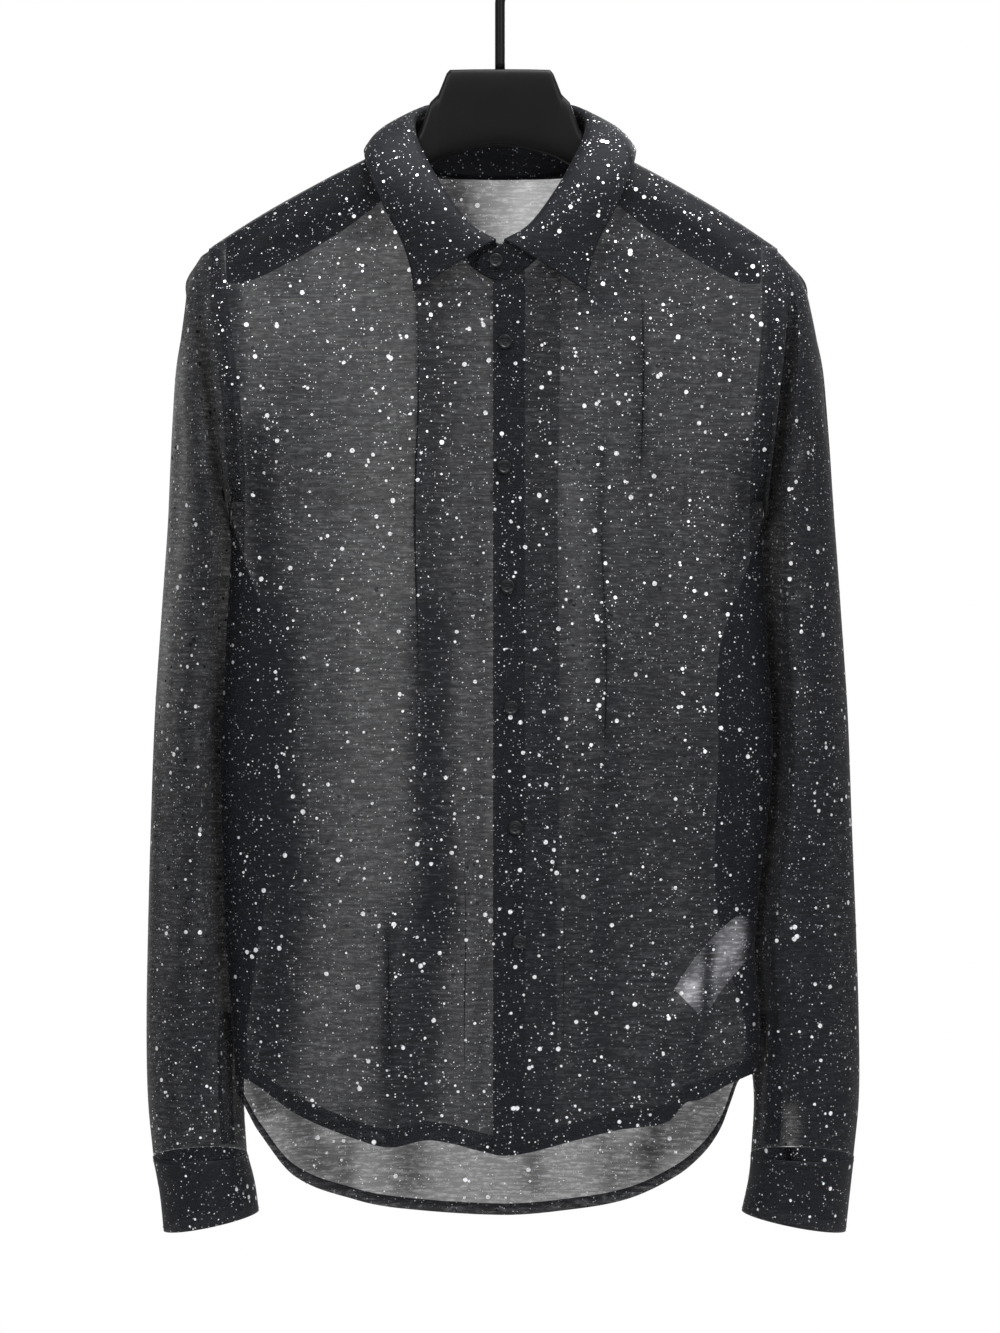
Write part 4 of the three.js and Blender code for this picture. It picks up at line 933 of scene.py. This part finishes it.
# Collar
leaf_grid = leaf_points(260, 26)
leaf = shell_piece("collar_leaf", leaf_grid, 0.8, DOUBLE)
leaf_normals = grid_normals(leaf_grid)
leaf_outward = np.sign((leaf_normals[:, 14] * leaf_grid[:, 14] * (1, 1, 0)).sum())
raised = leaf_grid + leaf_normals * 0.45 * leaf_outward
leaf_dots = dots("collar_leaf_dots", raised[:, 1:], leaf_outward)
edge_line = np.concatenate([raised[3, 3:-3], raised[4:-4, -4], raised[-4, -4:2:-1]])
edge_out = np.concatenate([leaf_normals[3, 3:-3], leaf_normals[4:-4, -4], leaf_normals[-4, -4:2:-1]])
leaf_sewing = stitches("collar_leaf_stitches", [(edge_line, edge_out * leaf_outward)])
stand_grid = stand_points(220, 14)
stand = shell_piece("collar_stand", stand_grid, 1.0, DOUBLE)

# Buttons
BUTTON_PROFILE = (
    (0, 0), (4.6, 0), (5.0, 0.2), (5.2, 0.7), (5.1, 1.5), (4.8, 2.0), (4.4, 2.2), (4.0, 2.15), (3.6, 1.9),
    (3.2, 1.5), (2.6, 1.35), (0, 1.3),
)


def button(name, centre, facing):
    """A turned button with a raised rim, sewn through four holes."""
    centre, facing = np.array(centre, float), unit(np.array(facing, float))
    side = unit(np.cross(facing, (0, 0, 1.0)))
    up = np.cross(side, facing)
    sides = 32
    turn = np.arange(sides) * 2 * np.pi / sides
    rings = [
        centre + facing * height
        + max(radius, 0.01) * (np.cos(turn)[:, None] * side + np.sin(turn)[:, None] * up)
        for radius, height in BUTTON_PROFILE
    ]
    faces = grid_faces(len(rings), sides, ring=True)
    make_piece(f"{name}_resin", np.concatenate(rings), faces, BUTTON, (name,))
    points, faces = [], []
    for index, (across_x, across_up) in enumerate(((-1, -1), (1, -1), (1, 1), (-1, 1))):
        middle = centre + facing * 1.42 + (side * across_x + up * across_up) * 1.05
        hole = middle + 0.55 * (np.cos(turn[::4])[:, None] * side + np.sin(turn[::4])[:, None] * up)
        points.append(hole)
        faces.append([index * 8 + step for step in range(8)])
    for place in (-1, 1):
        start = sum(len(group) for group in points)
        low = centre + facing * 1.5 - side * 1.3 + up * 1.05 * place
        high = centre + facing * 1.5 + side * 1.3 + up * 1.05 * place
        thread = [low - up * 0.3, low + up * 0.3, high + up * 0.3, high - up * 0.3]
        crest = [low + facing * 0.35, high + facing * 0.35]
        points.append(np.array(thread + crest))
        faces += [
            [start, start + 3, start + 5, start + 4], [start + 1, start + 4, start + 5, start + 2],
            [start, start + 4, start + 1], [start + 3, start + 2, start + 5],
        ]
    make_piece(f"{name}_thread", np.concatenate(points), faces, THREAD, smooth=False)


for index, (x, down) in enumerate(BUTTONS):
    depth = float(body_depth("front", x, down)) + SEAM_GAP / 2 + OVERLAP_LIFT
    lift = COLLAR_BUTTON_LIFT if index == 0 else 0
    button(f"button_{index + 1}", (x, -(depth + 0.9 + lift), -down), (0, -1, 0))
for name, sign in SIDES:
    seat = cuff_points(sign, 1.0, CUFF_BUTTON_SHARE)
    opposite = cuff_points(sign, 1.0, CUFF_BUTTON_SHARE - 0.5)
    middle = np.array(((seat[0] + opposite[0]) / 2, 22, seat[2]))
    facing = unit(seat - middle)
    button(f"cuff_button_{name}", seat + facing * 1.1, facing)

# Care label
label_row = np.concatenate([np.linspace(0, 1, 6)[:-1], np.linspace(1, 3, 40)])
side_share = np.linspace(-1, 1, 18)
label_at = lambda column: look_up(LABEL, column, label_row)[:, None]
label_grid = np.stack([
    label_at("x") + side_share * label_at("half") * label_at("slant"),
    label_at("y") + 0 * side_share,
    -label_at("down") - side_share * label_at("half"),
], -1)
label = make_piece(
    "care_label_glowing_tape", label_grid, grid_faces(*label_grid.shape[:2]), LABEL_GLOW_CLOTH, ("care_label",)
)

# Hanger
def hanger_sections(sign):
    x = list(sign * PLATE["x"])
    top, bottom = list(PLATE["top"]), list(PLATE["bottom"])
    half, power = list(PLATE["half"]), list(PLATE["power"])
    width = float(half_width(SHOULDER_DOWN, sign))
    for share, height, depth in zip(*ARM.values()):
        start = float(look_up(RIDGE, "down", share)) + 0.55 + ARM_CLEAR
        x.append(sign * share * width)
        top.append(start)
        bottom.append(start + height)
        half.append(depth)
        power.append(ARM_POWER)
    return np.array((x, top, bottom, half, power)).T


HANGER_STEPS, HANGER_SIDES = 260, 56
left, right = hanger_sections(-1)[::-1], hanger_sections(1)[1:]
sections = np.concatenate([left, right])
place = np.arange(len(sections))
fine_place = np.linspace(0, len(sections) - 1, HANGER_STEPS)
fine = np.stack([np.interp(fine_place, place, sections[:, column]) for column in range(5)], -1)
ring_turn = np.arange(HANGER_SIDES) * 2 * np.pi / HANGER_SIDES
power = 2 / fine[:, 4:5]
cosine, sine = np.cos(ring_turn)[None], np.sin(ring_turn)[None]
y = fine[:, 3:4] * np.sign(sine) * np.abs(sine) ** power
half_height = (fine[:, 2:3] - fine[:, 1:2]) / 2
down = fine[:, 1:2] + half_height - half_height * np.sign(cosine) * np.abs(cosine) ** power
loft = np.stack([fine[:, :1] + 0 * y, y, -down], -1)
make_piece("hanger_body_plastic", loft, rod_faces(*loft.shape[:2]), HANGER, ("hanger_body",))

arc_turn = np.linspace(-math.pi / 6, -math.pi / 6 + 11 / 9 * math.pi, 80)
radius = HOOK_INNER_RADIUS + ROD_RADIUS
arc = np.stack([radius * np.cos(arc_turn), 0 * arc_turn, radius * np.sin(arc_turn) - HOOK_INNER_RADIUS], -1)
into = np.array((0.5, 0, math.cos(math.pi / 6)))
stem_top, stem_bottom = np.array((0, 0, -STEM_TOP_DOWN)), np.array((0, 0, -PLATE_TOP_DOWN + 0.6))
first, second = stem_top + np.array((0, 0, HOOK_BEND)), arc[0] - into * HOOK_BEND
share = np.linspace(0, 1, 30)[1:-1, None]
bend = (
    (1 - share) ** 3 * stem_top + 3 * (1 - share) ** 2 * share * first
    + 3 * (1 - share) * share**2 * second + share**3 * arc[0]
)
stem = stem_bottom + (stem_top - stem_bottom) * np.linspace(0, 1, 12)[:, None]
rod = rod_points(np.concatenate([stem, bend, arc]), ROD_RADIUS, 28)
make_piece("hanger_hook_rod", rod, rod_faces(*rod.shape[:2]), HOOK, ("hanger_hook",))

# Floor, light and camera
FLOOR_RADIUS, FLOOR_Z = 1.15, -1.3
SURROUND_LIGHT = 0.42
CAMERA_PLACE, CAMERA_LENS = (0, -2.6, -0.5454), 96.2
LIGHT_AIM = Vector((0, 0, -0.5))
floor_mesh = bpy.data.meshes.new("floor")
rim = np.linspace(0, 2 * np.pi, 97)[:-1]
floor_mesh.from_pydata(
    [(FLOOR_RADIUS * math.cos(turn), FLOOR_RADIUS * math.sin(turn), FLOOR_Z) for turn in rim], [],
    [tuple(range(len(rim)))],
)
floor = bpy.data.objects.new("floor", floor_mesh)
bpy.context.collection.objects.link(floor)
floor_material, _, floor_shader = nodes_of("pale_floor")
set_inputs(floor_shader, {"Base Color": (0.9, 0.9, 0.9, 1), "Roughness": 0.9})
floor_mesh.materials.append(floor_material)

# White surroundings, which light the object less than they show
world = bpy.data.worlds.new("studio")
bpy.context.scene.world = world
world.use_nodes = True
tree = world.node_tree
background = tree.nodes["Background"]
background.inputs["Color"].default_value = (1, 1, 1, 1)
seen = tree.nodes.new("ShaderNodeLightPath")
strength = tree.nodes.new("ShaderNodeMapRange")
set_inputs(strength, {"To Min": SURROUND_LIGHT, "To Max": 1.0})
tree.links.new(seen.outputs["Is Camera Ray"], strength.inputs["Value"])
tree.links.new(strength.outputs["Result"], background.inputs["Strength"])
bpy.context.scene.view_settings.view_transform = "Standard"

for name, place, size, energy in (
    ("key", (-1.4, -2.2, 1.3), 1.2, 46), ("fill", (1.5, -2.3, 0.6), 1.4, 26),
    ("top", (0.5, -0.5, 1.5), 1.2, 74), ("back", (0.6, 2.2, 0.9), 1.6, 30),
):
    light = bpy.data.lights.new(name, "AREA")
    light.energy, light.size = energy, size
    lamp = bpy.data.objects.new(name, light)
    lamp.location = place
    lamp.rotation_euler = (LIGHT_AIM - Vector(place)).to_track_quat("-Z", "Y").to_euler()
    bpy.context.collection.objects.link(lamp)

camera = bpy.data.objects.new("camera", bpy.data.cameras.new("camera"))
camera.data.lens = CAMERA_LENS
camera.location = CAMERA_PLACE
camera.rotation_euler = (math.pi / 2, 0, 0)
camera.data.clip_end = 50
bpy.context.collection.objects.link(camera)
bpy.context.scene.camera = camera
